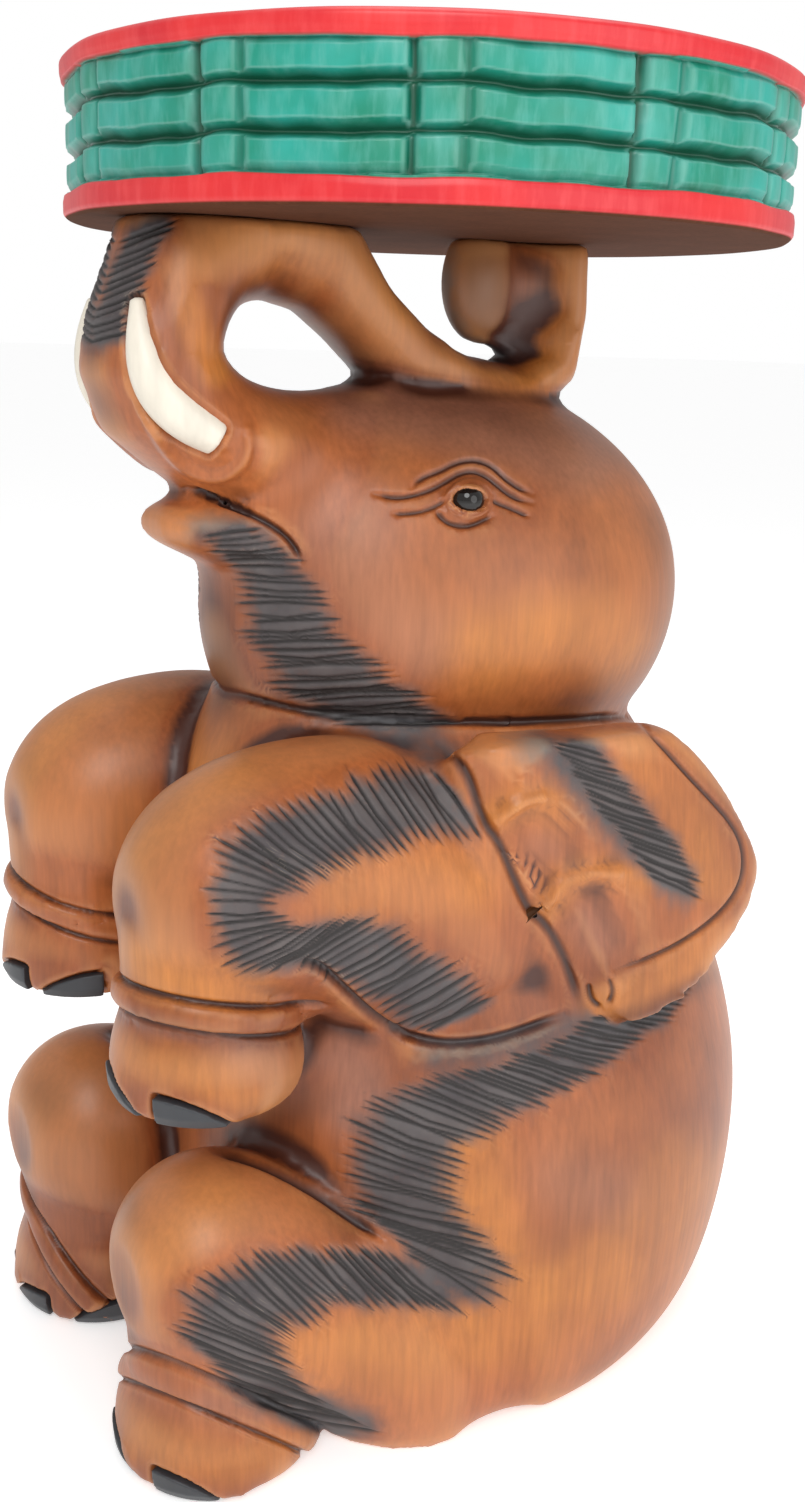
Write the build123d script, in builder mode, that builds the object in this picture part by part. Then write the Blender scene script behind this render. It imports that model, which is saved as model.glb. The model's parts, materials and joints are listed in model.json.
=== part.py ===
from build123d import *
import os

# Carved elephant stool. The elephant sits up on its rump with its forelegs and hind legs
# folded in front of it, and carries a round drum seat on its raised trunk.
# Millimetres. +Z is up, the elephant faces -Y, and its left side is +X.
# The origin is on the floor, on the axis of the seat.

# ---------------------------------------------------------------- seat
seat_diameter = 280.0
top_rim_height = 7.0
bar_row_height = 13.0
bar_rows = 3
bottom_rim_height = 9.0
bar_setback = 1.5            # bars lie inside the rims by this much
bar_groove_depth = 4.5       # V groove between two rows
bar_flat = 7.0               # flat face of one bar
rim_round = 1.5
station_count = 12           # joints of the carved bamboo round the band
station_start = -5.0         # direction of the first one, degrees
knuckle_width = 14.0
knuckle_groove_width = 5.0
knuckle_groove_depth = 5.0

# ---------------------------------------------------------------- torso
neck_level = 281.0           # height of the neck joint on its tilt axis
neck_tilt = 6.0              # the neck joint falls towards the back, degrees
torso_half_width = 129.0
torso_front = 106.0          # reach of the belly in front of the seat axis
torso_back = 166.0           # reach of the rump behind it
tail_radius = 7.0
tail_top_level = 170.0
tail_length = 128.0

# ---------------------------------------------------------------- head
head_height = 131.0          # neck joint to crown
head_half_width = 82.0
head_front = 92.0
head_back = 118.0

# ---------------------------------------------------------------- trunk
trunk_rise = 54.0            # crown to the underside of the seat
trunk_reach = 142.0          # foremost point of the trunk, from the seat axis
trunk_half_width = 38.0      # at the root
curl_radius = 24.0           # curled tip under the seat

# ---------------------------------------------------------------- jaw
jaw_setback = 23.0           # the lip ends behind the foremost point of the trunk
jaw_half_width = 40.0
jaw_half_height = 26.0

# ---------------------------------------------------------------- legs
leg_spacing = 120.0          # between the centres of a left and a right foot
fore_foot_radius = 36.0
fore_foot_height = 35.0
fore_foot_level = 157.0
fore_foot_reach = 126.0
fore_shin_height = 36.0
fore_ring_radius = 33.0
fore_ring_tilt = 4.0         # a ring falls towards the heel, degrees
arm_half_width = 43.0
arm_half_depth = 55.0
hind_foot_radius = 41.0
hind_foot_height = 36.0
hind_foot_reach = 122.0
hind_shin_height = 40.0
hind_ring_radius = 39.0
hind_ring_level = 22.0
hind_ring_tilt = 22.0
thigh_half_width = 45.0
thigh_half_depth = 54.0
ankle_ring_height = 9.0

# ---------------------------------------------------------------- ears
ear_length = 159.0
ear_height = 117.0
ear_level = 171.0            # lowest point of the ear
ear_front = 51.0             # reach of its front corner, in front of the seat axis
ear_offset = 92.0            # inner face of the ear, from the middle plane
ear_thickness = 22.0
ear_bow = 10.0               # the outer face curves in by this much at both ends
ear_lean = 8.0               # the top leans towards the neck, degrees

# ---------------------------------------------------------------- tusks, eyes, nails
tusk_radius = 8.0
eye_radius = 6.5
eye_reach = 19.0             # in front of the seat axis
eye_drop = 42.0              # below the crown
nail_thickness = 3.0
nail_height = 12.5
nail_width = 34.0
nail_angle = 56.0            # between neighbouring nails
nail_lift = 1.5              # nails end this far above the sole
nail_proud = 1.2

# ---------------------------------------------------------------- dowels
dowel_radius = 6.0
dowel_length = 44.0
slim_dowel_radius = 4.0
slim_dowel_length = 26.0
dowel_clearance = 0.1

# ---------------------------------------------------------------- levels that follow
crown_level = neck_level + head_height
seat_underside = crown_level + trunk_rise
band_height = bar_rows * bar_row_height
seat_thickness = top_rim_height + band_height + bottom_rim_height
seat_top = seat_underside + seat_thickness
seat_radius = seat_diameter / 2
leg_offset = leg_spacing / 2
jaw_reach = trunk_reach - jaw_setback
fore_ring_level = fore_foot_level + fore_foot_height

neck_plane = Plane((0, 0, neck_level), z_dir=Vector(0, 0, 1).rotate(Axis.X, -neck_tilt))


def egg_ring(plane, half_width, widest, front, back):
    """Egg-shaped outline: a half ellipse and two quarters that share its widest line."""
    with BuildSketch(plane) as ring:
        with BuildLine():
            EllipticalCenterArc((0, widest), half_width, back - widest, start_angle=0, arc_size=180)
            EllipticalCenterArc((0, widest), half_width, widest + front, start_angle=180, arc_size=90)
            EllipticalCenterArc((0, widest), half_width, widest + front, start_angle=270, arc_size=90)
        make_face()
    return ring.sketch


def surface_point(piece, start, direction):
    """Last point where a ray leaves the piece."""
    ray = Axis(start, direction)
    hits = [hit[0] for face in piece.faces() for hit in face.find_intersection_points(ray)]
    return max(hits, key=lambda point: point.dot(ray.direction))


def dowels(places, direction, radius, length):
    """Round pins, each centred on its place in the joint."""
    with BuildPart() as pins:
        for place in places:
            with BuildSketch(Plane(place, z_dir=direction)):
                Circle(radius)
            extrude(amount=length / 2, both=True)
    return pins.part


def both_sides(places):
    """Each place, and the same place on the other side of the middle plane."""
    return [(side * x, y, z) for side in (1, -1) for x, y, z in places]


# ---------------------------------------------------------------- blanks: torso and head
# Each ring: share of the height, then shares of the half width, front and back reach,
# and the place of its widest line as a share of the back reach.
torso_form = (
    (0.00, 0.91, 0.90, 0.82, 0.00),
    (0.04, 0.955, 0.95, 0.89, 0.04),
    (0.16, 0.995, 1.00, 0.975, 0.09),
    (0.31, 1.00, 1.00, 1.00, 0.12),
    (0.48, 0.95, 1.00, 0.965, 0.12),
    (0.65, 0.83, 0.99, 0.86, 0.12),
    (0.82, 0.70, 0.98, 0.74, 0.12),
    (0.96, 0.59, 0.92, 0.62, 0.12),
    (1.08, 0.50, 0.80, 0.52, 0.12),
)
head_form = (
    (-0.12, 0.70, 0.84, 0.74, 0.30),
    (0.00, 0.82, 0.92, 0.86, 0.30),
    (0.15, 0.94, 1.00, 0.96, 0.28),
    (0.34, 1.00, 1.03, 1.00, 0.26),
    (0.56, 0.94, 1.00, 0.95, 0.26),
    (0.76, 0.74, 0.93, 0.80, 0.24),
    (0.90, 0.46, 0.80, 0.60, 0.20),
    (0.97, 0.27, 0.64, 0.42, 0.14),
)


def stacked_rings(form, level, height, half_width, front, back):
    """Loft of level rings, each given as shares of the piece's own sizes."""
    with BuildPart() as stack:
        for rise, width_share, front_share, back_share, widest_share in form:
            ring_plane = Plane.XY.offset(level + rise * height)
            add(
                egg_ring(
                    ring_plane,
                    width_share * half_width,
                    widest_share * back,
                    front_share * front,
                    back_share * back,
                )
            )
        loft()
    return stack.part


with BuildPart() as torso_blank:
    add(stacked_rings(torso_form, 0, neck_level, torso_half_width, torso_front, torso_back))
    split(bisect_by=neck_plane, keep=Keep.BOTTOM)

with BuildPart() as head_blank:
    add(stacked_rings(head_form, neck_level, head_height, head_half_width, head_front, head_back))
    split(bisect_by=neck_plane, keep=Keep.TOP)


# ---------------------------------------------------------------- blanks: legs
def turned_foot(reach, level, radius, height, shin_height):
    """Round foot and shin: turned about a vertical axis, widest near the sole."""
    with BuildPart() as turned:
        with BuildSketch(Plane((leg_offset, -reach, level), x_dir=(1, 0, 0), z_dir=(0, -1, 0))):
            with BuildLine():
                sole = Line((0, 0), (radius * 0.84, 0))
                side = Spline(
                    sole @ 1,
                    (radius, height * 0.34),
                    (radius * 0.86, height),
                    (radius * 0.88, height + shin_height),
                    tangents=((1, 0.5), (0, 1)),
                )
                top = Line(side @ 1, (0, height + shin_height))
                Line(top @ 1, (0, 0))
            make_face()
        revolve(axis=Axis((leg_offset, -reach, level), (0, 0, 1)))
    return turned.part


def ankle_ring(reach, level, radius, tilt):
    """Rounded collar round the ankle, tilted towards the heel."""
    ring_plane = Plane((leg_offset, -reach, level), z_dir=Vector(0, 0, 1).rotate(Axis.X, -tilt))
    with BuildPart() as collar:
        with BuildSketch(ring_plane):
            Circle(radius)
        extrude(amount=ankle_ring_height)
        fillet(collar.edges(), ankle_ring_height * 0.4)
    return collar.part


def folded_limb(form, foot_reach, foot_top, half_width, half_depth):
    """Upper limb with a domed knee: a loft of upright ovals, from the body forwards."""
    with BuildPart() as limb:
        for splay, back, up, width_share, depth_share in form:
            centre = (leg_offset + splay, back - foot_reach, foot_top + up)
            section = Plane(centre, x_dir=(1, 0, 0), z_dir=(0, -1, 0))
            half = depth_share * half_depth
            add(egg_ring(section, width_share * half_width, 0, half, half))
        loft()
    return limb.part


# Each section: splay, distance behind the foot and above it, shares of half width and half depth.
upper_arm_form = (
    (0.0, 168.0, 14.0, 0.80, 0.76),
    (0.0, 131.0, 18.0, 1.00, 1.04),
    (0.0, 91.0, 22.0, 1.07, 1.11),
    (0.0, 51.0, 37.0, 1.04, 1.02),
    (0.0, 20.0, 44.0, 0.99, 0.86),
    (0.0, -4.0, 43.0, 0.88, 0.745),
    (0.0, -21.0, 41.0, 0.65, 0.545),
    (0.0, -30.0, 40.0, 0.35, 0.29),
)
thigh_form = (
    (14.0, 130.0, -28.0, 0.84, 0.74),
    (16.0, 92.0, -12.0, 0.96, 0.89),
    (10.0, 52.0, 4.0, 1.00, 1.11),
    (2.0, 17.0, 30.0, 0.98, 1.00),
    (0.0, -10.0, 41.0, 0.91, 0.87),
    (0.0, -28.0, 45.0, 0.71, 0.63),
    (0.0, -38.0, 47.0, 0.38, 0.33),
)

with BuildPart() as foreleg_blank:
    add(folded_limb(upper_arm_form, fore_foot_reach, fore_ring_level, arm_half_width, arm_half_depth))
    add(turned_foot(fore_foot_reach, fore_foot_level, fore_foot_radius, fore_foot_height, fore_shin_height))
    add(ankle_ring(fore_foot_reach, fore_ring_level, fore_ring_radius, fore_ring_tilt))
    add(torso_blank.part, mode=Mode.SUBTRACT)
    add(head_blank.part, mode=Mode.SUBTRACT)

with BuildPart() as hind_leg_blank:
    add(folded_limb(thigh_form, hind_foot_reach, hind_foot_height, thigh_half_width, thigh_half_depth))
    add(turned_foot(hind_foot_reach, 0, hind_foot_radius, hind_foot_height, hind_shin_height))
    add(ankle_ring(hind_foot_reach, hind_ring_level, hind_ring_radius, hind_ring_tilt))
    split(bisect_by=Plane.XY, keep=Keep.TOP)
    add(torso_blank.part, mode=Mode.SUBTRACT)


# ---------------------------------------------------------------- nails
def nail_set(reach, level, radius):
    """Three half-moon nails let into the front of a left foot, along the edge of the sole."""
    centre = Vector(leg_offset, -reach, level)
    with BuildPart() as nails:
        for turn in (-nail_angle, 0, nail_angle):
            ahead = Vector(0, -1, 0).rotate(Axis.Z, turn)
            inner = radius - nail_thickness
            with BuildPart(mode=Mode.PRIVATE) as nail:
                with BuildSketch(Plane(centre, x_dir=ahead, z_dir=ahead.cross(Vector(0, 0, 1)))):
                    with BuildLine():
                        Polyline(
                            (inner - nail_thickness, nail_lift),
                            (radius * 0.93 + nail_proud, nail_lift),
                            (radius * 0.985 + nail_proud, nail_height * 0.45),
                            (radius + nail_proud, nail_height),
                            (inner, nail_height),
                            close=True,
                        )
                    make_face()
                revolve(axis=Axis(centre, (0, 0, 1)), revolution_arc=nail_angle * 0.96)
                moon_plane = Plane(centre, x_dir=Vector(0, 0, 1).cross(ahead), z_dir=ahead)
                with BuildSketch(moon_plane):
                    Ellipse(nail_width / 2, nail_height)
                extrude(amount=radius * 2, mode=Mode.INTERSECT)
            add(nail.part)
    return nails.part


# ---------------------------------------------------------------- ears
# Corners of the scalloped front edge, then of the rounded back edge, as shares of the ear's
# length and height from its front and its lowest point.
ear_front_edge = ((0.00, 1.00), (0.138, 0.705), (0.245, 0.54), (0.333, 0.30), (0.425, 0.06), (0.475, 0.00))
ear_back_edge = ((0.475, 0.00), (0.70, 0.05), (0.90, 0.20), (1.00, 0.38), (0.93, 0.59), (0.81, 0.79), (0.65, 0.97))
ear_outer = ear_offset + ear_thickness


def ear_corner(along, up):
    """Point of the ear's side view."""
    return (-ear_front + along * ear_length, ear_level + up * ear_height)


with BuildPart() as ear_blank:
    with BuildSketch(Plane.YZ.offset(leg_offset)):
        with BuildLine():
            for first, second in zip(ear_front_edge, ear_front_edge[1:]):
                SagittaArc(ear_corner(*first), ear_corner(*second), 2.5)
            back_edge = Spline([ear_corner(*corner) for corner in ear_back_edge])
            Line(back_edge @ 1, ear_corner(*ear_front_edge[0]))
        make_face()
    extrude(amount=torso_half_width)
    ear_middle = ear_level + ear_height / 2
    slab_plane = Plane((0, 0, ear_middle), z_dir=Vector(0, 0, 1).rotate(Axis.Y, -ear_lean))
    ear_start = -ear_front - ear_bow
    ear_end = ear_length - ear_front + ear_bow
    with BuildSketch(slab_plane):
        with BuildLine():
            outer_face = ThreePointArc(
                (ear_outer - ear_bow, ear_start),
                (ear_outer, (ear_start + ear_end) / 2),
                (ear_outer - ear_bow, ear_end),
            )
            inner_face = ThreePointArc(
                (ear_offset - ear_bow, ear_start),
                (ear_offset, (ear_start + ear_end) / 2),
                (ear_offset - ear_bow, ear_end),
            )
            Line(outer_face @ 0, inner_face @ 0)
            Line(outer_face @ 1, inner_face @ 1)
        make_face()
    extrude(amount=ear_height, both=True, mode=Mode.INTERSECT)
    add(torso_blank.part, mode=Mode.SUBTRACT)
    add(head_blank.part, mode=Mode.SUBTRACT)
    add(foreleg_blank.part, mode=Mode.SUBTRACT)

# ---------------------------------------------------------------- blank: trunk
# The trunk bends in its middle plane. Each section runs from an inner point to an outer one,
# given as shares of the reach and of the rise over the crown, with a share of the half width.
trunk_form = (
    ((0.40, -0.10), (0.62, -0.95), 1.05),
    ((0.52, -0.065), (0.79, -0.70), 1.04),
    ((0.634, 0.02), (0.944, -0.39), 0.98),
    ((0.676, 0.17), (1.00, 0.00), 0.94),
    ((0.648, 0.36), (0.982, 0.37), 0.89),
    ((0.606, 0.46), (0.894, 1.00), 0.82),
    ((0.528, 0.51), (0.60, 1.54), 0.74),
    ((0.408, 0.44), (0.317, 1.20), 0.68),
    ((0.296, 0.24), (0.169, 0.65), 0.64),
    ((0.169, -0.06), (0.035, 0.37), 0.62),
    ((-0.10, -0.26), (-0.106, 0.18), 0.62),
    ((-0.324, -0.30), (-0.254, 0.12), 0.62),
    ((-0.472, -0.04), (-0.345, 0.26), 0.61),
    ((-0.50, 0.46), (-0.387, 0.54), 0.59),
    ((-0.493, 1.11), (-0.38, 1.11), 0.58),
)


def trunk_point(reach, rise):
    """Point in the middle plane, from a share of the reach and of the rise over the crown."""
    return Vector(0, -reach * trunk_reach, crown_level + rise * trunk_rise)


with BuildPart() as trunk_blank:
    for inner, outer, width in trunk_form:
        low = trunk_point(*inner)
        high = trunk_point(*outer)
        across = high - low
        section = Plane((low + high) / 2, x_dir=(1, 0, 0), z_dir=across.cross(Vector(1, 0, 0)))
        half_depth = across.length / 2
        add(egg_ring(section, width * trunk_half_width, 0, half_depth, half_depth))
    loft(ruled=True)
    curl = trunk_point(-0.25, 0.70)
    with BuildSketch(Plane.YZ):
        with BuildLine():
            bulge = CenterArc((curl.Y, curl.Z), curl_radius, -90, 180)
            Line(bulge @ 1, bulge @ 0)
        make_face()
    revolve(axis=Axis(curl, (0, 0, 1)))
    split(bisect_by=Plane.XY.offset(seat_underside), keep=Keep.BOTTOM)
    add(head_blank.part, mode=Mode.SUBTRACT)

# ---------------------------------------------------------------- blank: lower jaw
# Each section: shares of the reach, then the drop below the crown, and shares of the half sizes.
jaw_form = (
    (0.46, 68.0, 1.05, 1.15),
    (0.67, 61.0, 0.95, 0.85),
    (0.84, 56.0, 0.73, 0.50),
    (0.94, 54.5, 0.52, 0.33),
    (1.00, 54.0, 0.28, 0.17),
)

with BuildPart() as jaw_blank:
    for reach, drop, width_share, height_share in jaw_form:
        section = Plane((0, -reach * jaw_reach, crown_level - drop), x_dir=(1, 0, 0), z_dir=(0, -1, 0))
        half = height_share * jaw_half_height
        add(egg_ring(section, width_share * jaw_half_width, 0, half, half))
    loft()
    add(head_blank.part, mode=Mode.SUBTRACT)
    add(trunk_blank.part, mode=Mode.SUBTRACT)

# ---------------------------------------------------------------- tusks
# Crescent let into the side of the trunk: reach and rise of each point, and the share of its radius.
tusk_form = (
    (0.925, 0.47, 0.30),
    (0.925, 0.20, 0.72),
    (0.905, -0.03, 0.95),
    (0.840, -0.24, 1.00),
    (0.755, -0.38, 0.80),
)

tusk_points = []
for reach, rise, share in tusk_form:
    middle = trunk_point(reach, rise)
    tusk_points.append(surface_point(trunk_blank.part, middle, (1, 0, 0)) - Vector(0.5 * share * tusk_radius, 0, 0))

with BuildPart() as tusk_left:
    for index, (point, form) in enumerate(zip(tusk_points, tusk_form)):
        before = tusk_points[max(index - 1, 0)]
        after = tusk_points[min(index + 1, len(tusk_points) - 1)]
        with BuildSketch(Plane(point, z_dir=after - before)):
            Circle(form[2] * tusk_radius)
    loft()

# ---------------------------------------------------------------- eyes
eye_centre = surface_point(head_blank.part, (0, -eye_reach, crown_level - eye_drop), (1, 0, 0))

with BuildPart() as eye_left:
    with BuildSketch(Plane.XZ.offset(-eye_centre.Y)):
        with BuildLine():
            centre = (eye_centre.X - eye_radius * 0.35, eye_centre.Z)
            ball = CenterArc(centre, eye_radius, -90, 180)
            Line(ball @ 1, ball @ 0)
        make_face()
    revolve(axis=Axis((centre[0], eye_centre.Y, eye_centre.Z), (0, 0, 1)))

# ---------------------------------------------------------------- dowel places
neck_places = both_sides([(35, 10, neck_level)])
seat_places = [trunk_point(reach, 1) for reach in (0.74, 0.46, -0.44)]
trunk_places = both_sides([(16, -0.98 * head_front, crown_level - 26)])
jaw_places = both_sides([(11, -head_front, crown_level - 57)])
foreleg_places = both_sides([(leg_offset, -88, fore_ring_level + up) for up in (26, 54)])
hind_leg_places = both_sides([(leg_offset, -92, hind_foot_height + up) for up in (16, 44)])
ear_places = both_sides([(ear_offset, 8, ear_level + 72), (ear_offset, 46, ear_level + 54)])
up = (0, 0, 1)
ahead = (0, -1, 0)
sideways = (1, 0, 0)
hole_radius = dowel_radius + dowel_clearance
slim_hole_radius = slim_dowel_radius + dowel_clearance

with BuildPart() as neck_dowels:
    add(dowels(neck_places, up, dowel_radius, dowel_length))

with BuildPart() as seat_dowels:
    add(dowels(seat_places, up, dowel_radius, dowel_length))

with BuildPart() as trunk_dowels:
    add(dowels(trunk_places, ahead, dowel_radius, dowel_length))

with BuildPart() as jaw_dowels:
    add(dowels(jaw_places, ahead, slim_dowel_radius, slim_dowel_length))

with BuildPart() as foreleg_dowels:
    add(dowels(foreleg_places, ahead, dowel_radius, dowel_length))

with BuildPart() as hind_leg_dowels:
    add(dowels(hind_leg_places, ahead, dowel_radius, dowel_length))

with BuildPart() as ear_dowels:
    add(dowels(ear_places, sideways, slim_dowel_radius, slim_dowel_length))

neck_holes = dowels(neck_places, up, hole_radius, dowel_length)
seat_holes = dowels(seat_places, up, hole_radius, dowel_length)
trunk_holes = dowels(trunk_places, ahead, hole_radius, dowel_length)
jaw_holes = dowels(jaw_places, ahead, slim_hole_radius, slim_dowel_length)
foreleg_holes = dowels(foreleg_places, ahead, hole_radius, dowel_length)
hind_leg_holes = dowels(hind_leg_places, ahead, hole_radius, dowel_length)
ear_holes = dowels(ear_places, sideways, slim_hole_radius, slim_dowel_length)

# ---------------------------------------------------------------- torso
# Each tail section: share of its length, then share of its radius.
tail_form = ((0.0, 0.60), (0.25, 0.72), (0.60, 0.62), (0.75, 0.78), (0.90, 1.00), (1.0, 0.45))

with BuildPart() as tail:
    for drop, share in tail_form:
        rump = surface_point(torso_blank.part, (0, 0, tail_top_level - drop * tail_length), (0, 1, 0))
        with BuildSketch(Plane(rump)):
            Circle(share * tail_radius)
    loft(ruled=True)

with BuildPart() as torso:
    add(torso_blank.part)
    add(tail.part)
    for holes in (neck_holes, foreleg_holes, hind_leg_holes, ear_holes):
        add(holes, mode=Mode.SUBTRACT)

# ---------------------------------------------------------------- head
with BuildPart() as eye_right:
    mirror(eye_left.part, about=Plane.YZ)

with BuildPart() as head:
    add(head_blank.part)
    for holes in (neck_holes, trunk_holes, jaw_holes, eye_left.part, eye_right.part):
        add(holes, mode=Mode.SUBTRACT)

# ---------------------------------------------------------------- trunk
with BuildPart() as tusk_right:
    mirror(tusk_left.part, about=Plane.YZ)

with BuildPart() as trunk:
    add(trunk_blank.part)
    for holes in (seat_holes, trunk_holes, tusk_left.part, tusk_right.part):
        add(holes, mode=Mode.SUBTRACT)

# ---------------------------------------------------------------- lower jaw
with BuildPart() as lower_jaw:
    add(jaw_blank.part)
    add(jaw_holes, mode=Mode.SUBTRACT)

# ---------------------------------------------------------------- legs, nails and ears
with BuildPart() as front_left_nails:
    add(nail_set(fore_foot_reach, fore_foot_level, fore_foot_radius))

with BuildPart() as hind_left_nails:
    add(nail_set(hind_foot_reach, 0, hind_foot_radius))

with BuildPart() as foreleg_left:
    add(foreleg_blank.part)
    add(foreleg_holes, mode=Mode.SUBTRACT)
    add(ear_holes, mode=Mode.SUBTRACT)
    add(front_left_nails.part, mode=Mode.SUBTRACT)

with BuildPart() as hind_leg_left:
    add(hind_leg_blank.part)
    add(hind_leg_holes, mode=Mode.SUBTRACT)
    add(hind_left_nails.part, mode=Mode.SUBTRACT)

with BuildPart() as ear_left:
    add(ear_blank.part)
    add(ear_holes, mode=Mode.SUBTRACT)

with BuildPart() as foreleg_right:
    mirror(foreleg_left.part, about=Plane.YZ)

with BuildPart() as hind_leg_right:
    mirror(hind_leg_left.part, about=Plane.YZ)

with BuildPart() as front_right_nails:
    mirror(front_left_nails.part, about=Plane.YZ)

with BuildPart() as hind_right_nails:
    mirror(hind_left_nails.part, about=Plane.YZ)

with BuildPart() as ear_right:
    mirror(ear_left.part, about=Plane.YZ)

# ---------------------------------------------------------------- seat
bar_radius = seat_radius - bar_setback
band_bottom = seat_underside + bottom_rim_height
band_top = band_bottom + band_height
bar_slope = (bar_row_height - bar_flat) / 2
groove_bottom = bar_radius - bar_groove_depth
groove_step = (knuckle_width + knuckle_groove_width) / 2

with BuildPart() as seat:
    with BuildSketch(Plane.XZ):
        with BuildLine():
            outline = [(0, seat_underside), (seat_radius, seat_underside), (seat_radius, band_bottom)]
            for row in range(bar_rows):
                row_level = band_bottom + row * bar_row_height
                outline += [
                    (groove_bottom, row_level),
                    (bar_radius, row_level + bar_slope),
                    (bar_radius, row_level + bar_slope + bar_flat),
                ]
            outline += [(groove_bottom, band_top), (seat_radius, band_top), (seat_radius, seat_top), (0, seat_top)]
            Polyline(outline, close=True)
        make_face()
    revolve(axis=Axis.Z)
    rims = seat.edges().filter_by(GeomType.CIRCLE).filter_by(lambda edge: edge.radius > bar_radius)
    fillet(rims, rim_round)
    with BuildSketch(Plane.XY.offset(band_bottom)):
        with PolarLocations(0, station_count, start_angle=station_start):
            for step in (-groove_step, groove_step):
                Polygon(
                    (bar_radius - knuckle_groove_depth, step),
                    (seat_radius, step + knuckle_groove_width / 2),
                    (seat_radius, step - knuckle_groove_width / 2),
                    align=None,
                )
    extrude(amount=band_height, mode=Mode.SUBTRACT)
    add(seat_holes, mode=Mode.SUBTRACT)

# ---------------------------------------------------------------- finished pieces
os.makedirs("parts", exist_ok=True)

torso.part.label = "torso"
export_step(torso.part, "parts/torso.step")
head.part.label = "head"
export_step(head.part, "parts/head.step")
lower_jaw.part.label = "lower_jaw"
export_step(lower_jaw.part, "parts/lower_jaw.step")
trunk.part.label = "trunk"
export_step(trunk.part, "parts/trunk.step")
seat.part.label = "seat"
export_step(seat.part, "parts/seat.step")
foreleg_left.part.label = "foreleg_left"
export_step(foreleg_left.part, "parts/foreleg_left.step")
foreleg_right.part.label = "foreleg_right"
export_step(foreleg_right.part, "parts/foreleg_right.step")
hind_leg_left.part.label = "hind_leg_left"
export_step(hind_leg_left.part, "parts/hind_leg_left.step")
hind_leg_right.part.label = "hind_leg_right"
export_step(hind_leg_right.part, "parts/hind_leg_right.step")
ear_left.part.label = "ear_left"
export_step(ear_left.part, "parts/ear_left.step")
ear_right.part.label = "ear_right"
export_step(ear_right.part, "parts/ear_right.step")
tusk_left.part.label = "tusk_left"
export_step(tusk_left.part, "parts/tusk_left.step")
tusk_right.part.label = "tusk_right"
export_step(tusk_right.part, "parts/tusk_right.step")
eye_left.part.label = "eye_left"
export_step(eye_left.part, "parts/eye_left.step")
eye_right.part.label = "eye_right"
export_step(eye_right.part, "parts/eye_right.step")
front_left_nails.part.label = "front_left_nails"
export_step(front_left_nails.part, "parts/front_left_nails.step")
front_right_nails.part.label = "front_right_nails"
export_step(front_right_nails.part, "parts/front_right_nails.step")
hind_left_nails.part.label = "hind_left_nails"
export_step(hind_left_nails.part, "parts/hind_left_nails.step")
hind_right_nails.part.label = "hind_right_nails"
export_step(hind_right_nails.part, "parts/hind_right_nails.step")
neck_dowels.part.label = "neck_dowels"
export_step(neck_dowels.part, "parts/neck_dowels.step")
seat_dowels.part.label = "seat_dowels"
export_step(seat_dowels.part, "parts/seat_dowels.step")
trunk_dowels.part.label = "trunk_dowels"
export_step(trunk_dowels.part, "parts/trunk_dowels.step")
jaw_dowels.part.label = "jaw_dowels"
export_step(jaw_dowels.part, "parts/jaw_dowels.step")
foreleg_dowels.part.label = "foreleg_dowels"
export_step(foreleg_dowels.part, "parts/foreleg_dowels.step")
hind_leg_dowels.part.label = "hind_leg_dowels"
export_step(hind_leg_dowels.part, "parts/hind_leg_dowels.step")
ear_dowels.part.label = "ear_dowels"
export_step(ear_dowels.part, "parts/ear_dowels.step")
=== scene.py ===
"""Carved elephant stool: dresses the CAD frame as a carved, stained and painted wooden stool."""

import json
import math
from collections import namedtuple

import bmesh
import bpy
import numpy as np
from mathutils import Matrix, Vector
from mathutils.bvhtree import BVHTree

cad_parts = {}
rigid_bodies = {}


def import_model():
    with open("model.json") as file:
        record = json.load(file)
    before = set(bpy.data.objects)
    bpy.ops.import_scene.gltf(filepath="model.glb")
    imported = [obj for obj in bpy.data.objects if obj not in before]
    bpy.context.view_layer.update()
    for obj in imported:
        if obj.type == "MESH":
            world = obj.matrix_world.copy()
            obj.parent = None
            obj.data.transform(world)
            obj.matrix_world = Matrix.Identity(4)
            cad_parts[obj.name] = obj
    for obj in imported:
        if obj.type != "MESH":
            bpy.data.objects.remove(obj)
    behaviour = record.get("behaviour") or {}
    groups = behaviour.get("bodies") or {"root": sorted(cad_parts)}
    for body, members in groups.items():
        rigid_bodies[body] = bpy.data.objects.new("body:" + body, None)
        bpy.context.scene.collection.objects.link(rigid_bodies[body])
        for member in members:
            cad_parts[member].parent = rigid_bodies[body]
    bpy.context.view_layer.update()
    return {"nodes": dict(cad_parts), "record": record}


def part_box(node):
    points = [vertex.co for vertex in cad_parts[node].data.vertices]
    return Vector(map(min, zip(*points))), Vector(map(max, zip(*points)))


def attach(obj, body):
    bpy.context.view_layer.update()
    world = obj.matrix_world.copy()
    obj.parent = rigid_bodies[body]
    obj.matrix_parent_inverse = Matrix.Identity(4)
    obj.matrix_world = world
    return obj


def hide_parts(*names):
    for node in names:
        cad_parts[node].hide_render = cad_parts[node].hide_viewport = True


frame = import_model()

bl_info = {
    "name": "Carved Elephant Stool",
    "version": (1, 0, 0),
    "blender": (4, 5, 0),
    "location": "3D View > Sidebar > Stool",
    "description": "Carves, stains and paints an elephant stool over its CAD frame",
    "category": "Add Mesh",
}

MILLIMETRE = 0.001
SAME_PLACE = 1e-6

# ------------------------------------------------------------------ nodes
CARVED_NODES = (
    "torso", "head", "trunk", "lower_jaw", "ear_left", "ear_right",
    "foreleg_left", "foreleg_right", "hind_leg_left", "hind_leg_right",
)
TUSKS = ("tusk_left", "tusk_right")
NAILS = ("front_left_nails", "front_right_nails", "hind_left_nails", "hind_right_nails")
EYES = ("eye_left", "eye_right")

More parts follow.
